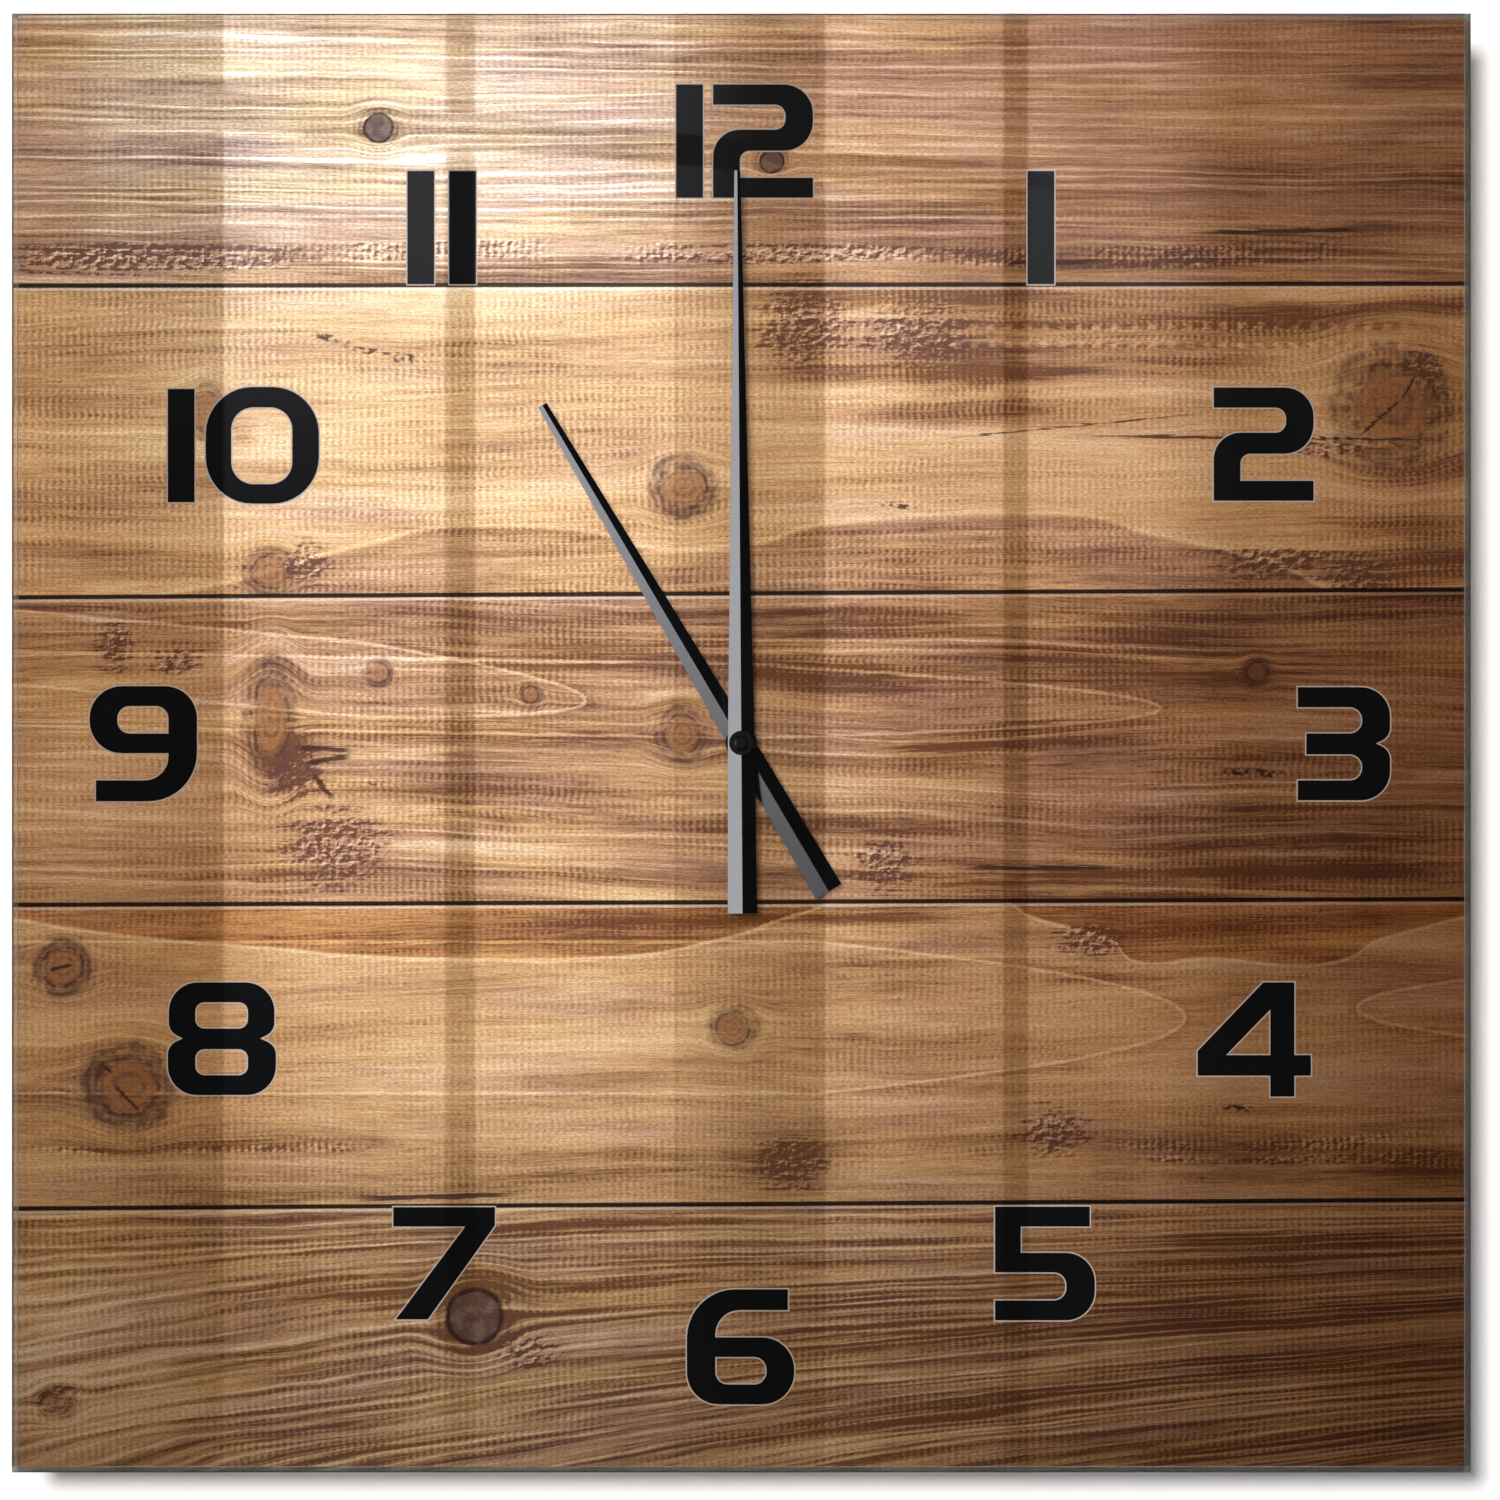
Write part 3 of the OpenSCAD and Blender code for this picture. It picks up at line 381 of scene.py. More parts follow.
# Rows of pale dashes on the second plank, in the same numbers
DASH_ROWS = {
    "upper": (22, 142, 85.7, 0.45),
    "lower": (30, 142, 82, 0.35),
}
DASH_PITCH = 3.7
# Pale pointed growth lines: tip across, tip up, length, half width, opening side, rise per mm
LOOPS = {
    "plank_three_left": (-32.1, 8.8, 45.0, 7.6, -1, -0.093),
    "plank_three_right": (86.1, 7.2, 84.0, 7.6, -1, -0.017),
    "plank_four_right": (126.8, -54.5, 24.0, 6.0, 1, 0.0),
    "plank_four_middle": (91.2, -56.5, 76.0, 15.6, -1, 0.0),
}
# The pale wavy line under the reddish top of the fourth plank: across, up (mm)
WEDGE = (
    (-150, -35.8), (-123, -39.9), (-101, -41.7), (-64, -44.2), (-34, -44.2), (-5, -40.3), (12, -35.0),
    (35, -31.0), (50, -31.5), (59, -35.4), (77, -40.7), (84, -45.2), (96, -44.2), (115, -45.6),
    (130, -40.7), (150, -35.2),
)
# The wavy line over the reddish foot of the second plank
FOOT = (
    (-150, 25.0), (-105, 33.0), (-75, 41.0), (-54, 44.4), (-30, 43.0), (-15, 39.5), (2, 40.7), (18, 44.8),
    (63, 46.9), (84, 42.8), (107, 37.6), (125, 30.0), (150, 25.0),
)
# How bright the picture is made across and up: brightest at the upper left, darker towards the right and
# the bottom
FADE_ACROSS = (
    (-150, 0.74), (-138, 0.77), (-118, 0.76), (-98, 0.9), (-79, 1), (-60, 1.02), (-40, 0.98),
    (-20, 0.91), (0, 0.82), (20, 0.79), (39, 0.67), (59, 0.56), (79, 0.49), (98, 0.46), (114, 0.45),
    (130, 0.38), (150, 0.32),
)
FADE_UP = ((-150, 0.5), (-100, 0.64), (-50, 0.84), (20, 0.95), (70, 1), (150, 0.98))
FADE_GREEN = 1.30
FADE_BLUE = 1.52
# Painted reflection: how much brighter the print is made at the upper left, in each colour, as a
# bluish-white veil of window light on the glass
PAINTED_REFLECTION_GAIN = (0.62, 1.26, 2.15)
PAINTED_REFLECTION_ACROSS = (
    (-150, 0.25), (-136, 0.5), (-118, 1.1), (-98, 0.92), (-78, 0.56), (-40, 0.5), (-20, 0.45), (0, 0.1),
    (40, 0), (150, 0),
)
PAINTED_REFLECTION_UP = (
    (-150, 0), (36, 0), (52, 0.11), (70, 0.15), (84, 0.18), (94, 0.28), (104, 0.5), (114, 0.8),
    (124, 0.95), (134, 0.85), (150, 0.55),
)
FACE = 150.0

GOLD_DARK = (0.22, 0.090, 0.036)
GOLD_MID = (0.70, 0.408, 0.182)
GOLD_PALE = (0.95, 0.69, 0.39)
RED_DARK = (0.17, 0.072, 0.044)
RED_MID = (0.57, 0.315, 0.175)
RED_PALE = (0.90, 0.67, 0.46)
KNOT_DARK = (0.060, 0.028, 0.020)
KNOT_MID = (0.46, 0.205, 0.080)
KNOT_GREY = (0.20, 0.125, 0.090)
KNOT_PURPLE = (0.115, 0.062, 0.050)
OVER_TINT = (0.95, 0.70, 0.45)
GAP_DARK = (0.012, 0.007, 0.006)
GLINT_PALE = (0.95, 0.78, 0.60)

# Noise in the planks: size across and up (mm), number of finer layers
WAVE = (130, 22, 1.0)
WOBBLE = (26, 5, 2.0)
BROAD = (80, 8, 2.0)
STREAK = (70, 1.2, 3.0)
FIBRE = (9, 0.36, 2.0)
GRIT = (0.8, 0.30, 1.0)
DRIFT = (170, 6, 1.0)
PORES = (2.4, 0.22, 1.0)
ROWS = (14, 1.1, 1.0)
PATCHES = (42, 14, 1.0)
CHIPS = (1.8, 1.2, 3.0)
RAGGED = (5, 5, 4.0)
BROKEN = (3.1, 2.3, 2.0)
REDDISH = (55, 9, 2.0)
# Each plank and each grain line has noise of its own, this far from the one before
PLANK_SEED = 17.3
STRAND_SEED = 3.7
STRAND_LONG = 75
ROW_PATCH = 22
ROW_END = 12.0
# How far off the light of a chip is looked up, and how strong its relief is
CHIP_LIGHT = 0.28
CHIP_RELIEF = 3.4
# How much each of these changes the tone
BROAD_SHARE = 0.80
FIBRE_SHARE = 0.60
PORE_SHARE = 0.13
RIPPLE_SHARE = 0.28
LOOP_SHARE = 0.34
OVER_SHARE = 0.24
UNDER_SHARE = 0.26
KNOT_SHARE = 0.30
RING_SHARE = 0.13
RING_COUNT = 17.0
PIT_SHARE = 0.42
RELIEF_SHARE = 0.7
TORN_SHARE = 0.12


def oval(x, z, across, up, half_wide, half_high):
    """How far a point is from a place, with 1 on the oval of these half sizes."""
    return length((x - across) / half_wide, (z - up) / half_high)


def highest(values):
    """The largest of several Values."""
    top = values[0]
    for value in values[1:]:
        top = calc("MAXIMUM", top, value)
    return top


def plank_print():
    """The picture on the back of the glass: five stained planks."""
    material, shader, (x, _, z) = new_material("printed_planks", Specular_IOR_Level=0.0)

    # Gaps, and the number of the plank from the top
    offs = [z - x * rise - height for height, rise in GAPS]
    below = [calc("LESS_THAN", off, 0.0) for off in offs]
    gap = highest([bell(off, GAP_HALF, GAP_EDGE) for off in offs])
    glint = highest([bell(off + GLINT_DROP, GLINT_HALF, GAP_EDGE) for off in offs])
    number = below[0] + below[1] + below[2] + below[3]

    def per_plank(values):
        total = values[0]
        for before, after, under in zip(values, values[1:], below):
            total = total + under * (after - before)
        return total

    seed = number * PLANK_SEED

    # Grain lines part a little round the knots
    push = None
    nearest = None
    dark = []
    for across, up, half_wide, half_high, depth in KNOTS.values():
        far = oval(x, z, across, up, half_wide, half_high)
        shift = (z - up) * soft(far, 2.8, 0.8)
        push = shift if push is None else push + shift
        nearest = far if nearest is None else calc("MINIMUM", nearest, far)
        dark.append(soft(far, 2.0, 1.5) * depth)
    dark = highest(dark)
    wave = (grain(WAVE, x, z, seed) - 0.5) * per_plank(PLANK_WAVE)
    tilt = per_plank(PLANK_TILT) - below[3] * (z - GAPS[3][0]) * LOW_FAN
    v = z - x * tilt + wave + (grain(WOBBLE, x, z, seed) - 0.5) - push * 0.5

    # Tone: broad, streaky, fine lines, pores and saw ripple
    broad = grain(BROAD, x, v, seed) - 0.5
    streak = grain(STREAK, x, v, seed) - 0.5
    fibre = grain(FIBRE, x, v, seed) - 0.5
    grit = grain(GRIT, x, z) - 0.5
    step = v * per_plank(PLANK_PITCH) + grain(DRIFT, x, v, seed) * 2.5
    saw = calc("FRACT", step)
    strand = flat_noise(x / STRAND_LONG, calc("FLOOR", step) * STRAND_SEED + seed)
    line = soft(saw + fibre * 0.25, 0.74, 0.90) * soft(saw, 1.0, 0.95) * soft(strand, 0.34, 0.60)
    shade = bell(saw - 0.40, 0.12, 0.26) * soft(strand, 0.30, 0.60)
    pores = soft(grain(PORES, x, v, seed), 0.58, 0.72)
    ripple = soft(calc("SINE", (x + streak * 1.2) * (2 * math.pi / RIPPLE_PITCH)), -0.6, 0.7) - 0.5
    rows = grain(ROWS, x, v, seed)
    mask = soft(grain(PATCHES, x, z, seed), 0.24, 0.54) * per_plank(PLANK_RIPPLE)
    tone = per_plank(PLANK_TONE) + broad * BROAD_SHARE + fibre * FIBRE_SHARE
    tone = tone + streak * per_plank(PLANK_STREAK)
    tone = tone + line * per_plank(PLANK_PALE) - shade * per_plank(PLANK_DARK) - pores * PORE_SHARE
    tone = tone + ripple * mask * soft(rows, 0.28, 0.62) * RIPPLE_SHARE

    # Rows of torn and of pale dashes
    def row_reach(start, end):
        return bell(x - (start + end) / 2, (end - start) / 2 - ROW_END, ROW_END)

    chips = grain(CHIPS, x, z)
    lit = grain(CHIPS, x + CHIP_LIGHT, z - CHIP_LIGHT)
    relief = (lit - chips) * CHIP_RELIEF
    for start, end, height, half in TORN_ROWS.values():
        row = bell(z - height - broad * 6.0, half, 0.7) * row_reach(start, end)
        patchy = soft(flat_noise(x / ROW_PATCH, height), 0.30, 0.60) * row
        tone = tone + patchy * (ripple * 0.30 + relief * 0.6 + rows * 0.8 - 0.42)
    dash = soft(calc("SINE", (x + rows * 3.0) * (2 * math.pi / DASH_PITCH)), -0.1, 0.7)
    for start, end, height, half in DASH_ROWS.values():
        row = bell(z - height - streak * 2.0, half, 0.5) * row_reach(start, end)
        tone = tone + row * (dash * rows * 0.62 - 0.10)

    # Pointed growth lines
    for across, up, long, half, side, rise in LOOPS.values():
        rise_z = z - up - (x - across) * rise
        along = calc("MAXIMUM", (x - across) * -side + long, 0.0) / long
        level = along + (rise_z / half) ** 2.0 - 1.0
        slope = length(1.0 / long, rise_z * (2.0 / half ** 2))
        near = level / slope + fibre
        inner = soft(near, 2.4, 0.3) * soft(near, 0.1, 0.5)
        tone = tone + bell(near, 0.14, 0.32) * LOOP_SHARE - inner * 0.14

    # The reddish parts of the second and fourth planks, with a pale border
    second = below[0] - below[1]
    fourth = below[2] - below[3]
    wedge = z - curve(x, WEDGE) + fibre * 0.9
    foot = curve(x, FOOT) - z + fibre * 0.9
    over = soft(wedge, -0.2, 0.4) * fourth
    under = soft(foot, -0.4, 0.8) * second
    tone = tone - over * OVER_SHARE + bell(wedge + 0.3, 0.1, 0.45) * fourth * 0.30
    tone = tone - under * UNDER_SHARE + bell(foot + 0.5, 0.1, 0.6) * second * 0.18

    # Knots, stains, torn places and cracks
    plug = soft(dark, 0.76, 0.86)
    edge = nearest + (grain(RAGGED, x, z) - 0.5) * (0.60 - plug * 0.40)
    broken = soft(grain(BROKEN, x, z), 0.34, 0.60)
    rings = calc("SINE", edge * RING_COUNT + streak * 3.0) * soft(edge, 2.4, 1.2) * soft(nearest, 2.6, 2.0)
    tone = tone - soft(edge, 1.9, 0.9) * dark * KNOT_SHARE + rings * broken * RING_SHARE
    for *place, strength in STAINS.values():
        tone = tone - soft(oval(x, z, *place) + broad * 1.6, 1.5, 0.2) * strength
    torn = highest([soft(oval(x, z, *place) + streak * 2.2, 1.3, 0.5) for place in BARK.values()])
    pits = soft(chips + ripple * 0.05, 0.52, 0.60) * torn
    tone = tone - pits * PIT_SHARE + relief * torn * RELIEF_SHARE - torn * TORN_SHARE
    cracks = []
    dots = soft(chips, 0.44, 0.56)
    for place, (start_x, start_z, end_x, end_z, half) in {**CRACKS, **MARKS}.items():
        run = math.hypot(end_x - start_x, end_z - start_z)
        along_x = (end_x - start_x) / run
        along_z = (end_z - start_z) / run
        along = (x - start_x) * along_x + (z - start_z) * along_z - run / 2
        aside = (z - start_z) * along_x - (x - start_x) * along_z + fibre * 1.2
        slit = bell(aside, half, 0.24) * bell(along, run * 0.30, run * 0.22)
        cracks.append(slit * dots if place in MARKS else slit)
    crack = highest(cracks)

    gold = ramp(tone, (0.0, GOLD_DARK), (0.5, GOLD_MID), (1.0, GOLD_PALE))
    red = ramp(tone, (0.0, RED_DARK), (0.5, RED_MID), (1.0, RED_PALE))
    redness = per_plank(PLANK_RED) + under * 0.3 + torn * 0.5
    redness = redness + (grain(REDDISH, x, v, 0.0 - seed) - 0.5) * 2.0
    colour = mix(soft(redness, 0.0, 1.0), gold, red)
    colour = mix(over * 0.5, colour, OVER_TINT, "MULTIPLY")
    heart = soft(edge, 1.0, 0.80) * soft(dark, 0.1, 0.4)
    halo = bell(edge - 1.28, 0.14, 0.36) * (0.25 + broken * 0.75) * dark * (1.0 - plug)
    rim = bell(edge - 1.0, 0.03, 0.11) * (broken * 0.6 + plug) * soft(dark, 0.1, 0.6)
    colour = mix(heart * 0.65, colour, mix(rings * 0.45 + 0.25, KNOT_MID, KNOT_PURPLE))
    colour = mix(halo * 0.85, colour, KNOT_PURPLE)
    colour = mix(plug * soft(edge, 1.04, 0.96) * 0.85, colour, mix(broken, KNOT_GREY, KNOT_PURPLE))
    colour = mix(rim * 0.75, colour, KNOT_DARK)
    colour = mix(crack * 0.9, colour, KNOT_DARK)
    colour = mix(glint * 0.55, colour, GLINT_PALE)
    colour = mix(gap * 0.96, colour, GAP_DARK)

    # Paler at the upper left, darker towards the right and the bottom, with fine grit all over; the upper
    # left also gets a painted reflection, a bluish-white veil of window light on the glass
    painted_reflection = curve(x, PAINTED_REFLECTION_ACROSS) * curve(z, PAINTED_REFLECTION_UP)
    fade_x = curve(x, FADE_ACROSS) ** per_plank(PLANK_FADE)
    fade_z = curve(z, FADE_UP) * (1.0 + grit * 0.8)
    powers = (1.0, FADE_GREEN, FADE_BLUE)
    tint = joined(*(
        fade_x ** power * fade_z * (painted_reflection * gain + 1.0)
        for power, gain in zip(powers, PAINTED_REFLECTION_GAIN)
    ))
    colour = mix(1.0, colour, tint, "MULTIPLY")
    set_look(shader, colour, 0.42 + fibre * 0.2)
    return material


# Other materials: sizes of their noise in mm, relief in metres
CLOUD = 18
METAL_CLOUD = 9
METAL_DARK = 0.78
LINE_RELIEF = 0.008 * MM
# The ground edge starts and is whole this far in; its colours: pale with painted light at the upper left,
# dark green with painted shade at the lower right, and in spots
GROUND_START = 1.35
GROUND_WHOLE = 1.1
GROUND_TURN = 6.0
GROUND_PAINTED_LIGHT = (0.96, 1.0, 0.98)
GROUND_GREEN_PAINTED_SHADE = (0.05, 0.14, 0.10)
GROUND_SPOT = (0.76, 0.92, 0.84)
GROUND_ROUGH = 0.24
PAINT_DARK = (0.0014, 0.0014, 0.0016)
PAINT_PALE = (0.0026, 0.0026, 0.0030)
PEEL = 0.5
PAINT_CLOUD = 12
PAINT_RELIEF = 0.004 * MM
WIRE_PITCH = 0.16
WIRE_RELIEF = 0.04 * MM
WIRE_DARK = (0.32, 0.11, 0.045)
WIRE_PALE = (0.80, 0.36, 0.18)
# The cell: bare steel at both ends, length of the coloured band, softness of the lines between them
CELL_BARE_START = 0.7
CELL_BARE_END = 1.75
CELL_BAND = 15.0
CELL_LINE = 0.05
CELL_STEEL = (0.55, 0.55, 0.54)
CELL_BLACK = (0.028, 0.030, 0.034)
CELL_COPPER = (0.62, 0.30, 0.10)
CELL_SCUFF = (0.4, 0.4, 0.4)
# The board: pitch of its runs across and up, weave per mm
RUN_ACROSS = 2.4
RUN_UP = 3.1
WEAVE = 9.0
WEAVE_RELIEF = 0.01 * MM
BOARD_DARK = (0.012, 0.085, 0.035)
BOARD_GREEN = (0.018, 0.115, 0.048)
BOARD_RUN = (0.05, 0.22, 0.085)


def speckled(name, colour, rough, speck=0.5, vary=0.12, relief=0.03, **settings):
    """A moulded or cast surface: two noises in its colour, gloss and relief."""
    material, shader, (x, y, z) = new_material(name, **settings)
    fine = noise(x / speck, z / speck, y / speck, 3.0)
    wide = noise(x / CLOUD, z / CLOUD, y / CLOUD)
    low = tuple(part * (1 - vary) for part in colour)
    high = tuple(min(1.0, part * (1 + vary)) for part in colour)
    colour = ramp(fine * 0.5 + wide * 0.5, (0.3, low), (0.7, high))
    set_look(shader, colour, rough + (fine - 0.5) * 0.16 + (wide - 0.5) * 0.12, fine, relief * MM)
    return material


def brushed(name, colour, rough, stretch=(0.15, 6.0), **settings):
    """Rolled metal with fine lines; stretch is their size across and up."""
    material, shader, (x, y, z) = new_material(name, Metallic=1.0, **settings)
    lines = noise(x / stretch[0], z / stretch[1], y / stretch[0])
    cloud = noise(x / METAL_CLOUD, z / METAL_CLOUD, y / METAL_CLOUD, 3.0)
    low = tuple(part * METAL_DARK for part in colour)
    colour = ramp(lines * 0.45 + cloud * 0.55, (0.25, low), (0.75, colour))
    set_look(shader, colour, rough + (cloud - 0.5) * 0.2 + (lines - 0.5) * 0.12, lines, LINE_RELIEF)
    return material


def glass_material():
    """Clear glass whose ground edges are tinted green, pale with painted light along the top and left and
    darker with painted shade along the bottom and right.
    """
    material, shader, (x, y, z) = new_material("edge_ground_glass", Transmission_Weight=1.0, IOR=1.5)
    half = (glass_high.x - glass_low.x) / 2 / MM
    middle = ((glass_high.z + glass_low.z) / 2 - AXIS.z) / MM
    reach = calc("MAXIMUM", abs(x), abs(z - middle))
    edge = soft(reach, half - GROUND_START, half - GROUND_WHOLE)
    smear = noise(x / 60, z / 25, 4.0, 3.0)
    up = z - middle
    # Painted light on the top and left ground edges and painted shade on the bottom and right ones
    turn = calc("MAXIMUM", x, up * -1.0) - calc("MAXIMUM", x * -1.0, up)
    tint = mix(soft(turn, -GROUND_TURN, GROUND_TURN), GROUND_PAINTED_LIGHT, GROUND_GREEN_PAINTED_SHADE)
    tint = mix(noise(x / 5, z / 5, y) * 0.10, tint, GROUND_SPOT)
    rough = edge * GROUND_ROUGH + soft(smear, 0.5, 0.9) * 0.01
    set_look(shader, mix(edge, (1.0, 1.0, 1.0), tint), rough)
    return material


def paint_material():
    """Satin black lacquer of the hands."""
    material, shader, (x, y, z) = new_material("satin_black_paint", Specular_IOR_Level=1.0)
    peel = noise(x / PEEL, z / PEEL, y / PEEL)
    cloud = noise(x / PAINT_CLOUD, z / PAINT_CLOUD, y / PAINT_CLOUD)
    colour = ramp(cloud, (0.3, PAINT_DARK), (0.7, PAINT_PALE))
    set_look(shader, colour, 0.24 + (peel - 0.5) * 0.08 + (cloud - 0.5) * 0.06, peel, PAINT_RELIEF)
    return material


def winding_material():
    """Enamelled copper wire wound along the coil."""
    material, shader, (x, y, z) = new_material("copper_wire", Metallic=1.0)
    turns = calc("SINE", x * (2 * math.pi / WIRE_PITCH)) * 0.5 + 0.5
    cloud = noise(x / 2, z / 0.8, y / 0.8, 3.0)
    colour = ramp(turns * 0.5 + cloud * 0.5, (0.2, WIRE_DARK), (0.8, WIRE_PALE))
    set_look(shader, colour, 0.28 + cloud * 0.15, turns, WIRE_RELIEF)
    return material


def cell_material():
    """Plain two-colour sleeve of the cell, with bare steel at both ends."""
    material, shader, (x, y, z) = new_material("cell_sleeve")
    low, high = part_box("battery")
    start = low.x / MM + CELL_BARE_START
    end = high.x / MM - CELL_BARE_END
    band_start = high.x / MM - CELL_BAND
    inside = soft(x, start, start + CELL_LINE) * soft(x, end, end - CELL_LINE)
    band = soft(x, band_start, band_start + 2 * CELL_LINE)
    scuff = noise(x / 3, z / 0.4, y / 0.4, 3.0)
    sleeve = mix(band, CELL_BLACK, CELL_COPPER)
    worn = mix(soft(scuff, 0.62, 0.78) * 0.35, sleeve, CELL_SCUFF)
    feed(shader.inputs["Metallic"], 1.0 - inside * 0.75)
    set_look(shader, mix(inside, CELL_STEEL, worn), 0.26 + scuff * 0.16)
    return material


def board_material():
    """Bare laminate with a green coat, copper runs and a woven grain."""
    material, shader, (x, _, z) = new_material("circuit_board")
    weave = calc("SINE", x * WEAVE) * calc("SINE", z * WEAVE) * 0.5 + 0.5
    run_x = bell(calc("FRACT", x / RUN_ACROSS) - 0.5, 0.13, 0.05)
    run_z = bell(calc("FRACT", z / RUN_UP) - 0.5, 0.11, 0.05)
    cells = noise(x / RUN_ACROSS, z / RUN_UP, 8.0, 0.0)
    runs = mix(soft(cells, 0.49, 0.51), joined(run_x, run_x, run_x), joined(run_z, run_z, run_z))
    coat = ramp(weave, (0.0, BOARD_DARK), (1.0, BOARD_GREEN))
    colour = mix(runs, coat, BOARD_RUN)
    set_look(shader, colour, 0.32 + weave * 0.12, weave, WEAVE_RELIEF)
    return material


def dress(material, *names):
    """Gives CAD nodes a material."""
    for name in names:
        data = nodes[name].data
        data.materials.clear()
        data.materials.append(material)


dress(glass_material(), "glass_panel")
dress(paint_material(), "hour_hand", "minute_hand", "hand_cap")
dress(speckled("moulded_black", (0.017, 0.017, 0.018), 0.46, speck=0.35), "front_case")
dress(speckled("moulded_black_cover", (0.022, 0.022, 0.023), 0.40, speck=0.45), "rear_cover")
dress(speckled("moulded_knob", (0.030, 0.030, 0.032), 0.36, speck=0.3), "setting_knob")
dress(speckled("acetal_white", (0.74, 0.73, 0.69), 0.34, speck=0.4, vary=0.05), "gear_bridge")
dress(speckled("acetal_cream", (0.78, 0.72, 0.58), 0.33, speck=0.3, vary=0.06),
      "second_wheel", "third_wheel", "hour_wheel", "motion_wheel")
dress(speckled("acetal_amber", (0.72, 0.50, 0.22), 0.33, speck=0.3, vary=0.08),
      "centre_wheel", "intermediate_wheel", "cannon_pinion")
dress(speckled("ferrite_magnet", (0.10, 0.10, 0.105), 0.42, speck=0.2, vary=0.25), "rotor")
dress(speckled("foam_white", (0.80, 0.79, 0.75), 0.9, speck=0.25, vary=0.14, relief=0.12), "mounting_pad")
dress(speckled("clear_rubber", (0.60, 0.61, 0.60), 0.5, speck=0.8, vary=0.07), "wall_spacers")
dress(speckled("bobbin_white", (0.80, 0.80, 0.77), 0.38, speck=0.4, vary=0.05), "coil_bobbin")
dress(speckled("black_resin", (0.012, 0.012, 0.013), 0.2, speck=1.5), "chip_blob")
dress(brushed("zinc_steel", (0.62, 0.62, 0.61), 0.34), "hanger_plate")
dress(brushed("nickel_contact", (0.66, 0.65, 0.62), 0.25, (3.0, 0.12)),
      "battery_contact_positive", "battery_contact_negative")
dress(brushed("crystal_can", (0.68, 0.68, 0.67), 0.2, (0.1, 2.0)), "quartz_crystal")
dress(brushed("soft_iron", (0.42, 0.42, 0.43), 0.36), "stator", "coil_core")
dress(brushed("spring_bronze", (0.70, 0.47, 0.24), 0.27), "clutch_spring")
dress(winding_material(), "coil_winding")
dress(cell_material(), "battery")
dress(board_material(), "circuit_board")


# The printed sheet
INK_ROOM = 0.10 * MM
PRINT_FRONT = print_low.y + INK_ROOM
HOLE_RADIUS = 3.2 * MM
HOLE_STEPS = 64


def printed_sheet(name, material):
    """A thin square sheet with the hole for the hand shafts."""
    work = bmesh.new()
    inner = []
    outer = []
    for number in range(HOLE_STEPS):
        angle = 2 * math.pi * number / HOLE_STEPS
        way = Vector((math.cos(angle), 0.0, math.sin(angle)))
        near = AXIS + way * HOLE_RADIUS
        share = way / max(abs(way.x), abs(way.z))
        side = print_high.x if way.x > 0 else print_low.x
        level = print_high.z if way.z > 0 else print_low.z
        far_z = AXIS.z + abs(share.z) * (level - AXIS.z)
        inner.append(work.verts.new((near.x, PRINT_FRONT, near.z)))
        outer.append(work.verts.new((abs(share.x) * side, PRINT_FRONT, far_z)))
    for number in range(HOLE_STEPS):
        work.faces.new((inner[number - 1], inner[number], outer[number], outer[number - 1]))
    back = bmesh.ops.extrude_face_region(work, geom=work.faces[:])["geom"]
    back_points = [part for part in back if isinstance(part, bmesh.types.BMVert)]
    bmesh.ops.translate(work, verts=back_points, vec=(0.0, print_high.y - PRINT_FRONT, 0.0))
    bmesh.ops.recalc_face_normals(work, faces=work.faces)
    mesh = bpy.data.meshes.new(name)
    work.to_mesh(mesh)
    work.free()
    mesh.materials.append(material)
    return new_object(name, mesh)


planks = printed_sheet("printed_planks", plank_print())
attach(planks, "clock_body")
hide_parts("dial_print")

# Numerals: outlines in mm from the lower left corner, each corner (across, up, radius); holes run clockwise
DIGIT_HIGH = 23.3
STEM = 5.5
BAR = 4.1
BOWL = 6.0
EYE = 2.6
SIX_OUTER = (
    (0, 0, 6.6), (22.1, 0, 6.6), (22.1, 13.8, 6.6), (5.86, 13.8, 0), (5.86, 19.4, 5), (20.8, 19.4, 0),
    (20.8, 23.7, 0), (0, 23.7, 10),
)
SIX_EYE = ((5.86, BAR, EYE), (5.86, 9.76, 0), (16.4, 9.76, EYE), (16.4, BAR, EYE))
SIX_WIDE = 22.1
SIX_HIGH = 23.7


def turned_round(loop):
    """A loop of the six turned half a turn, for the nine."""
    return tuple((SIX_WIDE - across, SIX_HIGH - up, radius) for across, up, radius in loop)


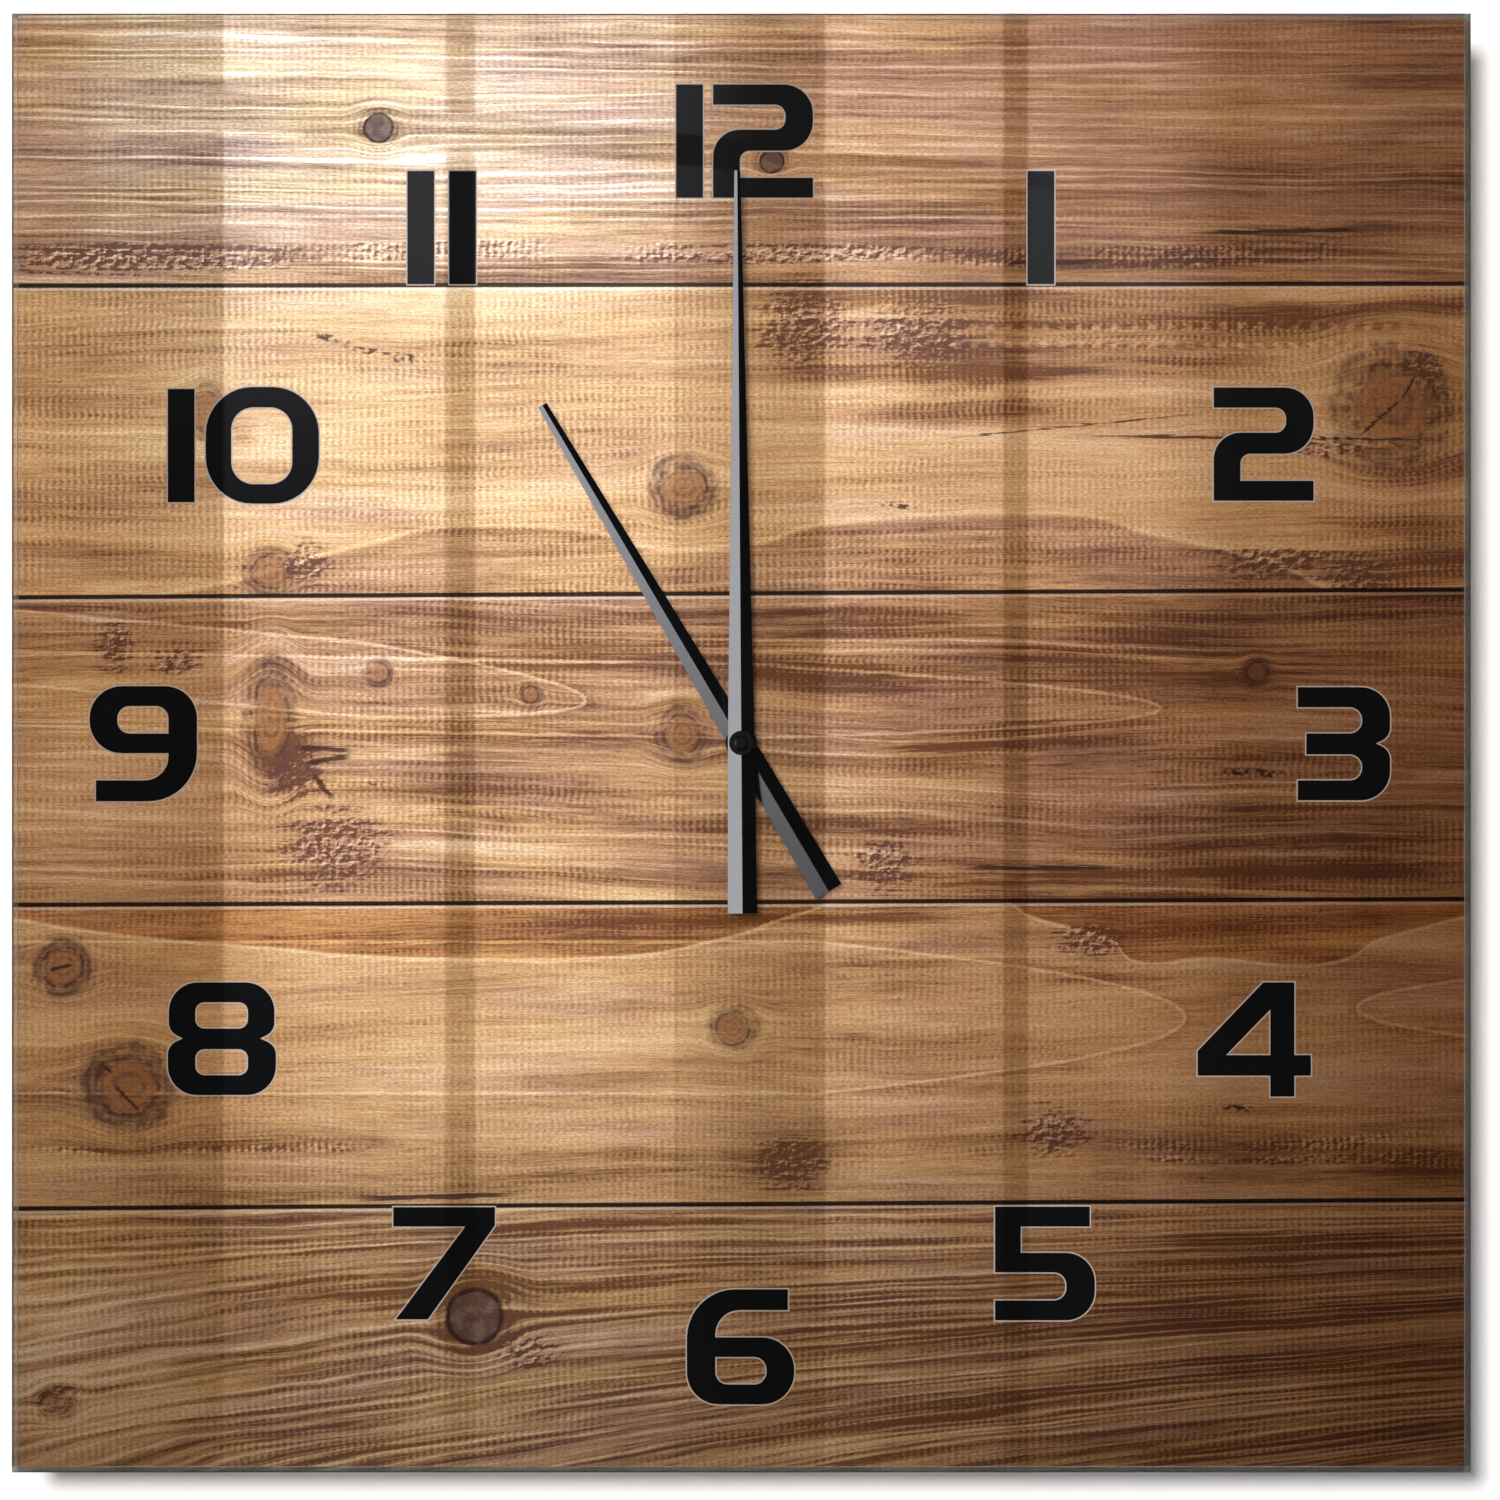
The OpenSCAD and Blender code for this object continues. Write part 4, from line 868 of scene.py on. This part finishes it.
DIGITS = {
    "one": (((0, 0, 0), (STEM, 0, 0), (STEM, DIGIT_HIGH, 0), (0, DIGIT_HIGH, 0)),),
    "two": ((
        (0, 0, 0), (20.55, 0, 0), (20.55, BAR, 0), (STEM, BAR, 0), (STEM, 9.66, 2), (20.55, 9.66, BOWL),
        (20.55, DIGIT_HIGH, BOWL), (0, DIGIT_HIGH, 0), (0, 19.15, 0), (14.9, 19.15, 2.2), (14.9, 14, 2.2),
        (0, 14, 5.5),
    ),),
    "three": ((
        (0, 0, 0), (19, 0, BOWL), (19, 10.3, 3), (16.1, 11.7, 0), (19, 13.1, 3),
        (19, DIGIT_HIGH, BOWL), (0, DIGIT_HIGH, 0), (0, 19.15, 0), (13.26, 19.15, EYE),
        (13.26, 13.77, EYE), (1.75, 13.77, 0), (1.75, 9.45, 0), (13.26, 9.45, EYE), (13.26, BAR, EYE),
        (0, BAR, 0),
    ),),
    "four": (
        ((14.95, 0, 0), (19.9, 0, 0), (19.9, 4.3, 0), (23.3, 4.3, 0), (23.3, 8.53, 0), (19.9, 8.53, 0),
         (19.9, 23.5, 0), (13.5, 23.5, 0), (0, 9.4, 0), (0, 4.3, 0), (14.95, 4.3, 0)),
        ((5.86, 8.53, 0), (14.95, 17.9, 0), (14.95, 8.53, 0)),
    ),
    "five": ((
        (0, 0, 0), (20.55, 0, BOWL), (20.55, 13.9, BOWL), (5.3, 13.9, 0), (5.3, 19.3, 0), (19.5, 19.3, 0),
        (19.5, 23.4, 0), (0, 23.4, 0), (0, 9.87, 0), (14.7, 9.87, EYE), (14.7, BAR, EYE), (0, BAR, 0),
    ),),
    "six": (SIX_OUTER, SIX_EYE),
    "seven": ((
        (0.5, 0, 0), (7.1, 0, 0), (20.9, 19.3, 0), (20.9, 23.1, 0), (0, 23.1, 0), (0, 19.1, 0),
        (14.8, 19.1, 0),
    ),),
    "eight": (
        ((0, 0, BOWL), (22.25, 0, BOWL), (22.25, 10.2, 3), (19, 11.67, 0), (21.94, 13.1, 3),
         (21.94, 23.2, BOWL), (0.2, 23.2, BOWL), (0.2, 13.1, 3), (3.08, 11.67, 0), (0, 10.2, 3)),
        ((5.65, BAR, 1.9), (5.65, 9.45, 1.9), (16.5, 9.45, 1.9), (16.5, BAR, 1.9)),
        ((5.65, 13.7, 1.9), (5.65, 19.1, 1.9), (16.5, 19.1, 1.9), (16.5, 13.7, 1.9)),
    ),
    "nine": (turned_round(SIX_OUTER), turned_round(SIX_EYE)),
    "zero": (
        ((0, 0, 9.6), (23.28, 0, 9.6), (23.28, 24, 9.6), (0, 24, 9.6)),
        ((5.24, 4, 4.6), (5.24, 19.83, 4.6), (17.83, 19.83, 4.6), (17.83, 4, 4.6)),
    ),
}
# The lower left corner of each digit, across and up from the hand axis in mm
PLACES = (
    ("one", -13.4, 112.2), ("two", -5.8, 112.2), ("one", 58.9, 94.4), ("two", 97.2, 49.85),
    ("three", 114.5, -11.8), ("four", 93.9, -72.75), ("five", 52.2, -118.8), ("six", -11.2, -136.1),
    ("seven", -71.6, -118.6), ("eight", -118, -72.45), ("nine", -134.1, -12), ("one", -118, 49.55),
    ("zero", -110.2, 49.25), ("one", -68.7, 94.4), ("one", -60.1, 94.4),
)
ARC_STEPS = 10
OUTLINE = 0.27
OUTLINE_FRONT = PRINT_FRONT - 0.03 * MM
DIGIT_FRONT = PRINT_FRONT - 0.07 * MM


def grown(loop, by):
    """The loop's corners moved outwards by a distance, with their radii fitted."""
    result = []
    for number, (across, up, radius) in enumerate(loop):
        here = Vector((across, up))
        before = Vector(loop[number - 1][:2])
        after = Vector(loop[(number + 1) % len(loop)][:2])
        come = (here - before).normalized()
        go = (after - here).normalized()
        come_out = Vector((come.y, -come.x))
        go_out = Vector((go.y, -go.x))
        turn = come.x * go.y - come.y * go.x
        push = (come_out + go_out) / (1 + come_out.dot(go_out)) * by
        fitted = max(0.0, radius + math.copysign(by, turn)) if radius else 0.0
        result.append((here.x + push.x, here.y + push.y, fitted))
    return result


def rounded(loop):
    """The loop as points, with an arc in each rounded corner."""
    points = []
    for number, (across, up, radius) in enumerate(loop):
        here = Vector((across, up))
        if not radius:
            points.append(here)
            continue
        come = (Vector(loop[number - 1][:2]) - here).normalized()
        go = (Vector(loop[(number + 1) % len(loop)][:2]) - here).normalized()
        half = come.angle(go) / 2
        centre = here + (come + go).normalized() * (radius / math.sin(half))
        reach = radius / math.tan(half)
        first = here + come * reach - centre
        last = here + go * reach - centre
        sweep = first.angle_signed(last)
        for step in range(ARC_STEPS + 1):
            angle = -sweep * step / ARC_STEPS
            points.append(centre + Vector((
                first.x * math.cos(angle) - first.y * math.sin(angle),
                first.x * math.sin(angle) + first.y * math.cos(angle))))
    return points


def numerals(name, by, front, material):
    """All digits as one flat piece, each outline grown by a distance."""
    outline = bpy.data.curves.new(name, "CURVE")
    outline.dimensions = "2D"
    outline.fill_mode = "BOTH"
    outline.extrude = (PRINT_FRONT - front) / 2
    for digit, across, up in PLACES:
        for loop in DIGITS[digit]:
            points = rounded(grown(loop, by))
            spline = outline.splines.new("POLY")
            spline.points.add(len(points) - 1)
            spline.use_cyclic_u = True
            for spot, point in zip(spline.points, points):
                spot.co = ((point.x + across) * MM, (point.y + up) * MM, 0.0, 1.0)
    flat = new_object(name + "_outline", outline)
    bpy.context.view_layer.update()
    mesh = bpy.data.meshes.new_from_object(flat.evaluated_get(bpy.context.evaluated_depsgraph_get()))
    bpy.data.objects.remove(flat)
    for vertex in mesh.vertices:
        across, up, depth = vertex.co
        vertex.co = (across, (PRINT_FRONT + front) / 2 - depth, up + AXIS.z)
    mesh.name = name
    mesh.materials.clear()
    mesh.materials.append(material)
    piece = new_object(name, mesh)
    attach(piece, "clock_body")


def ink(name, colour, vary):
    """Flat printing ink."""
    return speckled(name, colour, 0.5, speck=0.3, vary=vary, relief=0.002, Specular_IOR_Level=0.0)


numerals("numeral_edges", OUTLINE, OUTLINE_FRONT, ink("numeral_edge_ink", (0.42, 0.34, 0.28), 0.1))
numerals("numerals", 0.0, DIGIT_FRONT, ink("numeral_ink", (0.0040, 0.0040, 0.0040), 0.2))


# Stage: a white wall, seen from its front only
def stage_plane(name, centre, width, height, facing):
    """A flat stage card with its face towards a direction."""
    mesh = bpy.data.meshes.new(name)
    right = width / 2
    top = height / 2
    corners = [(-right, -top, 0), (right, -top, 0), (right, top, 0), (-right, top, 0)]
    mesh.from_pydata(corners, [], [(0, 1, 2, 3)])
    card = new_object(name, mesh)
    card.location = centre
    card.rotation_euler = Vector(facing).to_track_quat("Z", "Y").to_euler()
    return card


def glow_material(name):
    """An empty material with an Emission shader."""
    material = bpy.data.materials.new(name)
    material.use_nodes = True
    tree = material.node_tree
    tree.nodes.remove(tree.nodes["Principled BSDF"])
    glow = tree.nodes.new("ShaderNodeEmission")
    return material, tree, glow, tree.nodes["Material Output"]


WALL_SIZE = 3.0
WALL_GLOW = 0.13
WALL_WHITE = 0.92


def wall_material():
    """White with a faint glow for what sees it, and clear from behind."""
    material, tree, glow, output = glow_material("wall_white")
    link = tree.links.new
    diffuse = tree.nodes.new("ShaderNodeBsdfDiffuse")
    diffuse.inputs["Color"].default_value = (WALL_WHITE, WALL_WHITE, WALL_WHITE, 1.0)
    rays = tree.nodes.new("ShaderNodeLightPath").outputs
    kinds = ("Is Camera Ray", "Is Glossy Ray", "Is Transmission Ray")
    seen = highest([Value(tree, rays[kind]) for kind in kinds])
    feed(glow.inputs["Strength"], seen * WALL_GLOW)
    both = tree.nodes.new("ShaderNodeAddShader")
    link(diffuse.outputs[0], both.inputs[0])
    link(glow.outputs[0], both.inputs[1])
    clear = tree.nodes.new("ShaderNodeBsdfTransparent")
    side = tree.nodes.new("ShaderNodeNewGeometry")
    choice = tree.nodes.new("ShaderNodeMixShader")
    link(side.outputs["Backfacing"], choice.inputs[0])
    link(both.outputs[0], choice.inputs[1])
    link(clear.outputs[0], choice.inputs[2])
    link(choice.outputs[0], output.inputs["Surface"])
    return material


wall = stage_plane("wall", (0, 0, AXIS.z), WALL_SIZE, WALL_SIZE, (0, -1, 0))
wall.visible_shadow = False
wall.data.materials.append(wall_material())

# Cards that only reflections show, with their sizes in metres
CARD_COLOUR = (0.97, 0.98, 1.04)


def reflected_card(name, centre, width, height, aim, shine):
    """A glowing card for reflections; shine gives its brightness from a place on it, in metres."""
    card = stage_plane(name, centre, width, height, Vector(aim) - Vector(centre))
    for kind in ("camera", "diffuse", "transmission", "shadow"):
        setattr(card, "visible_" + kind, False)
    look, tree, glow, output = glow_material(name)
    across, up, _ = coordinates(tree, "Object")
    feed(glow.inputs["Strength"], shine(across, up))
    tree.links.new(glow.outputs[0], output.inputs["Surface"])
    feed(glow.inputs["Color"], CARD_COLOUR)
    card.data.materials.append(look)
    return card


CARD_AWAY = 0.7
CARD_ANGLE = math.radians(40)
CARD_GLOW = 5.4
CARD_DROP = 0.08
CARD_WIDE = 0.30
CARD_HIGH = 0.62
# How bright the card is, by the height from its middle (m)
CARD_SHINE = (
    (-0.31, 0.1), (-0.23, 0.14), (-0.18, 0.16), (-0.15, 0.22), (-0.125, 0.5), (-0.1, 1), (-0.05, 1),
    (0.31, 0.97),
)


def hand_shine(_, up):
    """The card beside the hands is dimmer towards its lower edge."""
    return curve(up, CARD_SHINE) * CARD_GLOW


card_aim = Vector((0, PANEL_FRONT, AXIS.z - CARD_DROP))
card_centre = card_aim - CARD_AWAY * Vector((math.sin(CARD_ANGLE), math.cos(CARD_ANGLE), 0))
hand_card = reflected_card("hand_card", card_centre, CARD_WIDE, CARD_HIGH, card_aim, hand_shine)

# The window: bright bands by their edges across, and a dark bar that hangs across it, in mm on the face
BANDS = ((-106.3, -60.7), (-54.7, -13.6), (17.2, 53.8))
LAST_BAND = 58.9
BAND_SOFT = 0.7
LAST_FADE = (80.0, 104.0)
HALF_LIGHT = 0.6
HALF_END = 6.0
BAND_FADE = ((-150, 0.35), (-110, 0.5), (-60, 0.95), (150, 1.0))
WINDOW_BAR = (
    (-150, 133), (-106, 129.9), (-74, 126.8), (-13, 122.1), (17, 118.8), (53, 116.7), (75, 112),
    (150, 100),
)
WINDOW_BAR_HALF = ((-150, 4), (-106, 3.9), (-13, 3.1), (53, 1.9), (75, 0.8), (150, 0.3))
WINDOW_BAR_FADE = (40.0, 75.0)
WINDOW_BAR_DARK = 0.85


def window_pattern(across, up):
    """How bright the window is in the direction of a place on the face."""
    bright = soft(across, LAST_BAND - BAND_SOFT, LAST_BAND + BAND_SOFT) * soft(across, *reversed(LAST_FADE))
    half_start = BANDS[1][1]
    half_lit = soft(across, half_start, half_start + BAND_SOFT) * soft(across, HALF_END, half_start)
    bright = bright + half_lit * HALF_LIGHT
    for start, end in BANDS:
        rise = soft(across, start - BAND_SOFT, start + BAND_SOFT)
        bright = bright + rise * soft(across, end + BAND_SOFT, end - BAND_SOFT)
    off = abs(up - curve(across, WINDOW_BAR))
    half = curve(across, WINDOW_BAR_HALF)
    bar = soft(off - half, 0.6, -0.3) * soft(across, *reversed(WINDOW_BAR_FADE))
    bright = bright * (1.0 - bar * WINDOW_BAR_DARK)
    return bright * curve(up, BAND_FADE)


# The window's mirror image in the glass
VEIL_AWAY = 2.6
VEIL_SIZE = 0.80
VEIL_GLOW = 0.65
VEIL_PLAIN = 0.12
VEIL_UP = ((-150, 0.0), (-60, 0.02), (40, 0.12), (100, 0.8), (150, 1.0))
face_ahead = (CAMERA_SIDE, PANEL_FRONT, AXIS.z - CAMERA_DROP)
veil_centre = (CAMERA_SIDE, PANEL_FRONT - VEIL_AWAY, AXIS.z - CAMERA_DROP)


def veil_shine(across, up):
    """The window as the camera sees it mirrored at each place of the face."""
    spread = (1 + VEIL_AWAY / CAMERA_AWAY) * MM
    face_x = across / -spread + CAMERA_SIDE / MM
    face_z = up / spread - CAMERA_DROP / MM
    return (window_pattern(face_x, face_z) * VEIL_GLOW + VEIL_PLAIN) * curve(face_z, VEIL_UP)


reflected_card("window_card", veil_centre, VEIL_SIZE, VEIL_SIZE, face_ahead, veil_shine)


# Light: a soft key from the upper left, a wide fill, a lamp for the wall and one behind
def lamp(name, kind, spot, aim):
    """A lamp at a spot that points at aim."""
    holder = new_object(name, bpy.data.lights.new(name, kind))
    holder.location = spot
    holder.rotation_euler = (Vector(aim) - Vector(spot)).to_track_quat("-Z", "Y").to_euler()
    holder.visible_transmission = False
    return holder


face_middle = Vector((0, PANEL_FRONT, AXIS.z))


def sun(name, way, level, spread):
    """A far lamp without a mirror image; way leads from the face to it, spread is in degrees."""
    holder = lamp(name, "SUN", face_middle + Vector(way), face_middle)
    holder.visible_glossy = False
    holder.data.energy = level * math.pi
    holder.data.angle = math.radians(spread)
    return holder


KEY_WAY = (-0.095, -1.0, 0.09)
KEY_LEVEL = 0.84
KEY_SPREAD = 15.5
FILL_WAY = (0.1, -1.0, 0.1)
FILL_LEVEL = 0.28
FILL_SPREAD = 140
WALL_WAY = (-0.25, -1.0, 0.25)
WALL_LEVEL = 1.0
WALL_SPREAD = 13.5
REAR_SPOT = (0.5, 1.2, 0.6)
REAR_WATTS = 14.0
REAR_SIZE = 0.8
key = sun("key", KEY_WAY, KEY_LEVEL, KEY_SPREAD)
fill = sun("fill", FILL_WAY, FILL_LEVEL, FILL_SPREAD)
wall_light = sun("wall_light", WALL_WAY, WALL_LEVEL, WALL_SPREAD)
rear = lamp("rear_fill", "AREA", REAR_SPOT, face_middle)
rear.data.energy = REAR_WATTS
rear.data.size = REAR_SIZE


def choose_lit(holder, state, *things):
    """Lets a lamp or card light these things only, or all but these."""
    lit = bpy.data.collections.new("lit_by_" + holder.name)
    for thing in things:
        lit.objects.link(thing)
    for link in lit.collection_objects:
        link.light_linking.link_state = state
    holder.light_linking.receiver_collection = lit


# The wall has a lamp of its own, more from the side, which gives the panel's shadow on it
choose_lit(key, "EXCLUDE", wall)
choose_lit(fill, "EXCLUDE", wall)
choose_lit(wall_light, "INCLUDE", wall)
# The card beside the hands shows in the hands and not in the glass
choose_lit(hand_card, "INCLUDE", nodes["hour_hand"], nodes["minute_hand"], nodes["hand_cap"])

# Window light in bands, thrown from where the camera stands
BAND_LEVEL = 0.45
BAND_COLOUR = (1.0, 1.20, 1.60)
BAND_CONE = 14
FACE_SOFT = 0.4
camera_spot = Vector((CAMERA_SIDE, PANEL_FRONT - CAMERA_AWAY, AXIS.z - CAMERA_DROP))


def window_bands():
    """A spot lamp whose light has the window's pattern where it meets the face."""
    holder = lamp("window_bands", "SPOT", camera_spot, camera_spot + Vector((0, 1, 0)))
    holder.visible_glossy = False
    light = holder.data
    light.energy = BAND_LEVEL * math.pi * 4 * math.pi * CAMERA_AWAY ** 2
    light.spot_size = math.radians(BAND_CONE)
    light.spot_blend = 0.0
    light.shadow_soft_size = 0.0
    light.use_nodes = True
    tree = light.node_tree
    glow = next(node for node in tree.nodes if node.type == "EMISSION")
    aim_x, aim_y, aim_z = coordinates(tree, "Normal")
    across = aim_x / abs(aim_z) * (CAMERA_AWAY / MM) + CAMERA_SIDE / MM
    up = aim_y / abs(aim_z) * (CAMERA_AWAY / MM) - CAMERA_DROP / MM
    inside = soft(calc("MAXIMUM", abs(across), abs(up)), FACE + FACE_SOFT, FACE - FACE_SOFT)
    feed(glow.inputs["Strength"], window_pattern(across, up) * inside)
    feed(glow.inputs["Color"], BAND_COLOUR)


window_bands()

# The world: white behind the object, dim in front where the glass mirrors it
WORLD_FRONT = 0.02
WORLD_REAR = 0.75
WORLD_SHADE = 0.10
# From where to where the world brightens towards the rear, for mirrored rays and for rays through the glass
REAR_TURN = (-0.2, 0.4)
SIDE_TURN = (-0.30, -0.05)


def studio_world():
    """White where the camera sees it and dim as a light, with the turns above for other rays."""
    world = bpy.data.worlds.new("studio")
    scene.world = world
    world.use_nodes = True
    tree = world.node_tree
    background = tree.nodes["Background"]
    feed(background.inputs["Color"], (1.0, 1.0, 1.0))
    rearward = coordinates(tree, "Generated")[1]
    rays = tree.nodes.new("ShaderNodeLightPath").outputs
    seen = Value(tree, rays["Is Camera Ray"])
    direct = calc("LESS_THAN", Value(tree, rays["Diffuse Depth"]), 0.5)
    mirrored = direct * Value(tree, rays["Is Glossy Ray"])
    through = direct * Value(tree, rays["Is Transmission Ray"])
    shown = soft(rearward, *REAR_TURN) * (WORLD_REAR - WORLD_FRONT) + WORLD_FRONT
    level = highest([mirrored, through]) * (shown - WORLD_SHADE) + WORLD_SHADE
    feed(background.inputs["Strength"], highest([level, seen, through * soft(rearward, *SIDE_TURN)]))


studio_world()

# Camera
lens = bpy.data.cameras.new("camera")
camera = new_object("camera", lens)
camera.location = camera_spot
camera.rotation_euler = (math.radians(90), 0, 0)
lens.angle = 2 * math.atan(VIEW_WIDTH / 2 / CAMERA_AWAY)
lens.clip_end = CAMERA_REACH
scene.camera = camera

nodes["glass_panel"].visible_shadow = False
scene.view_settings.view_transform = "Standard"
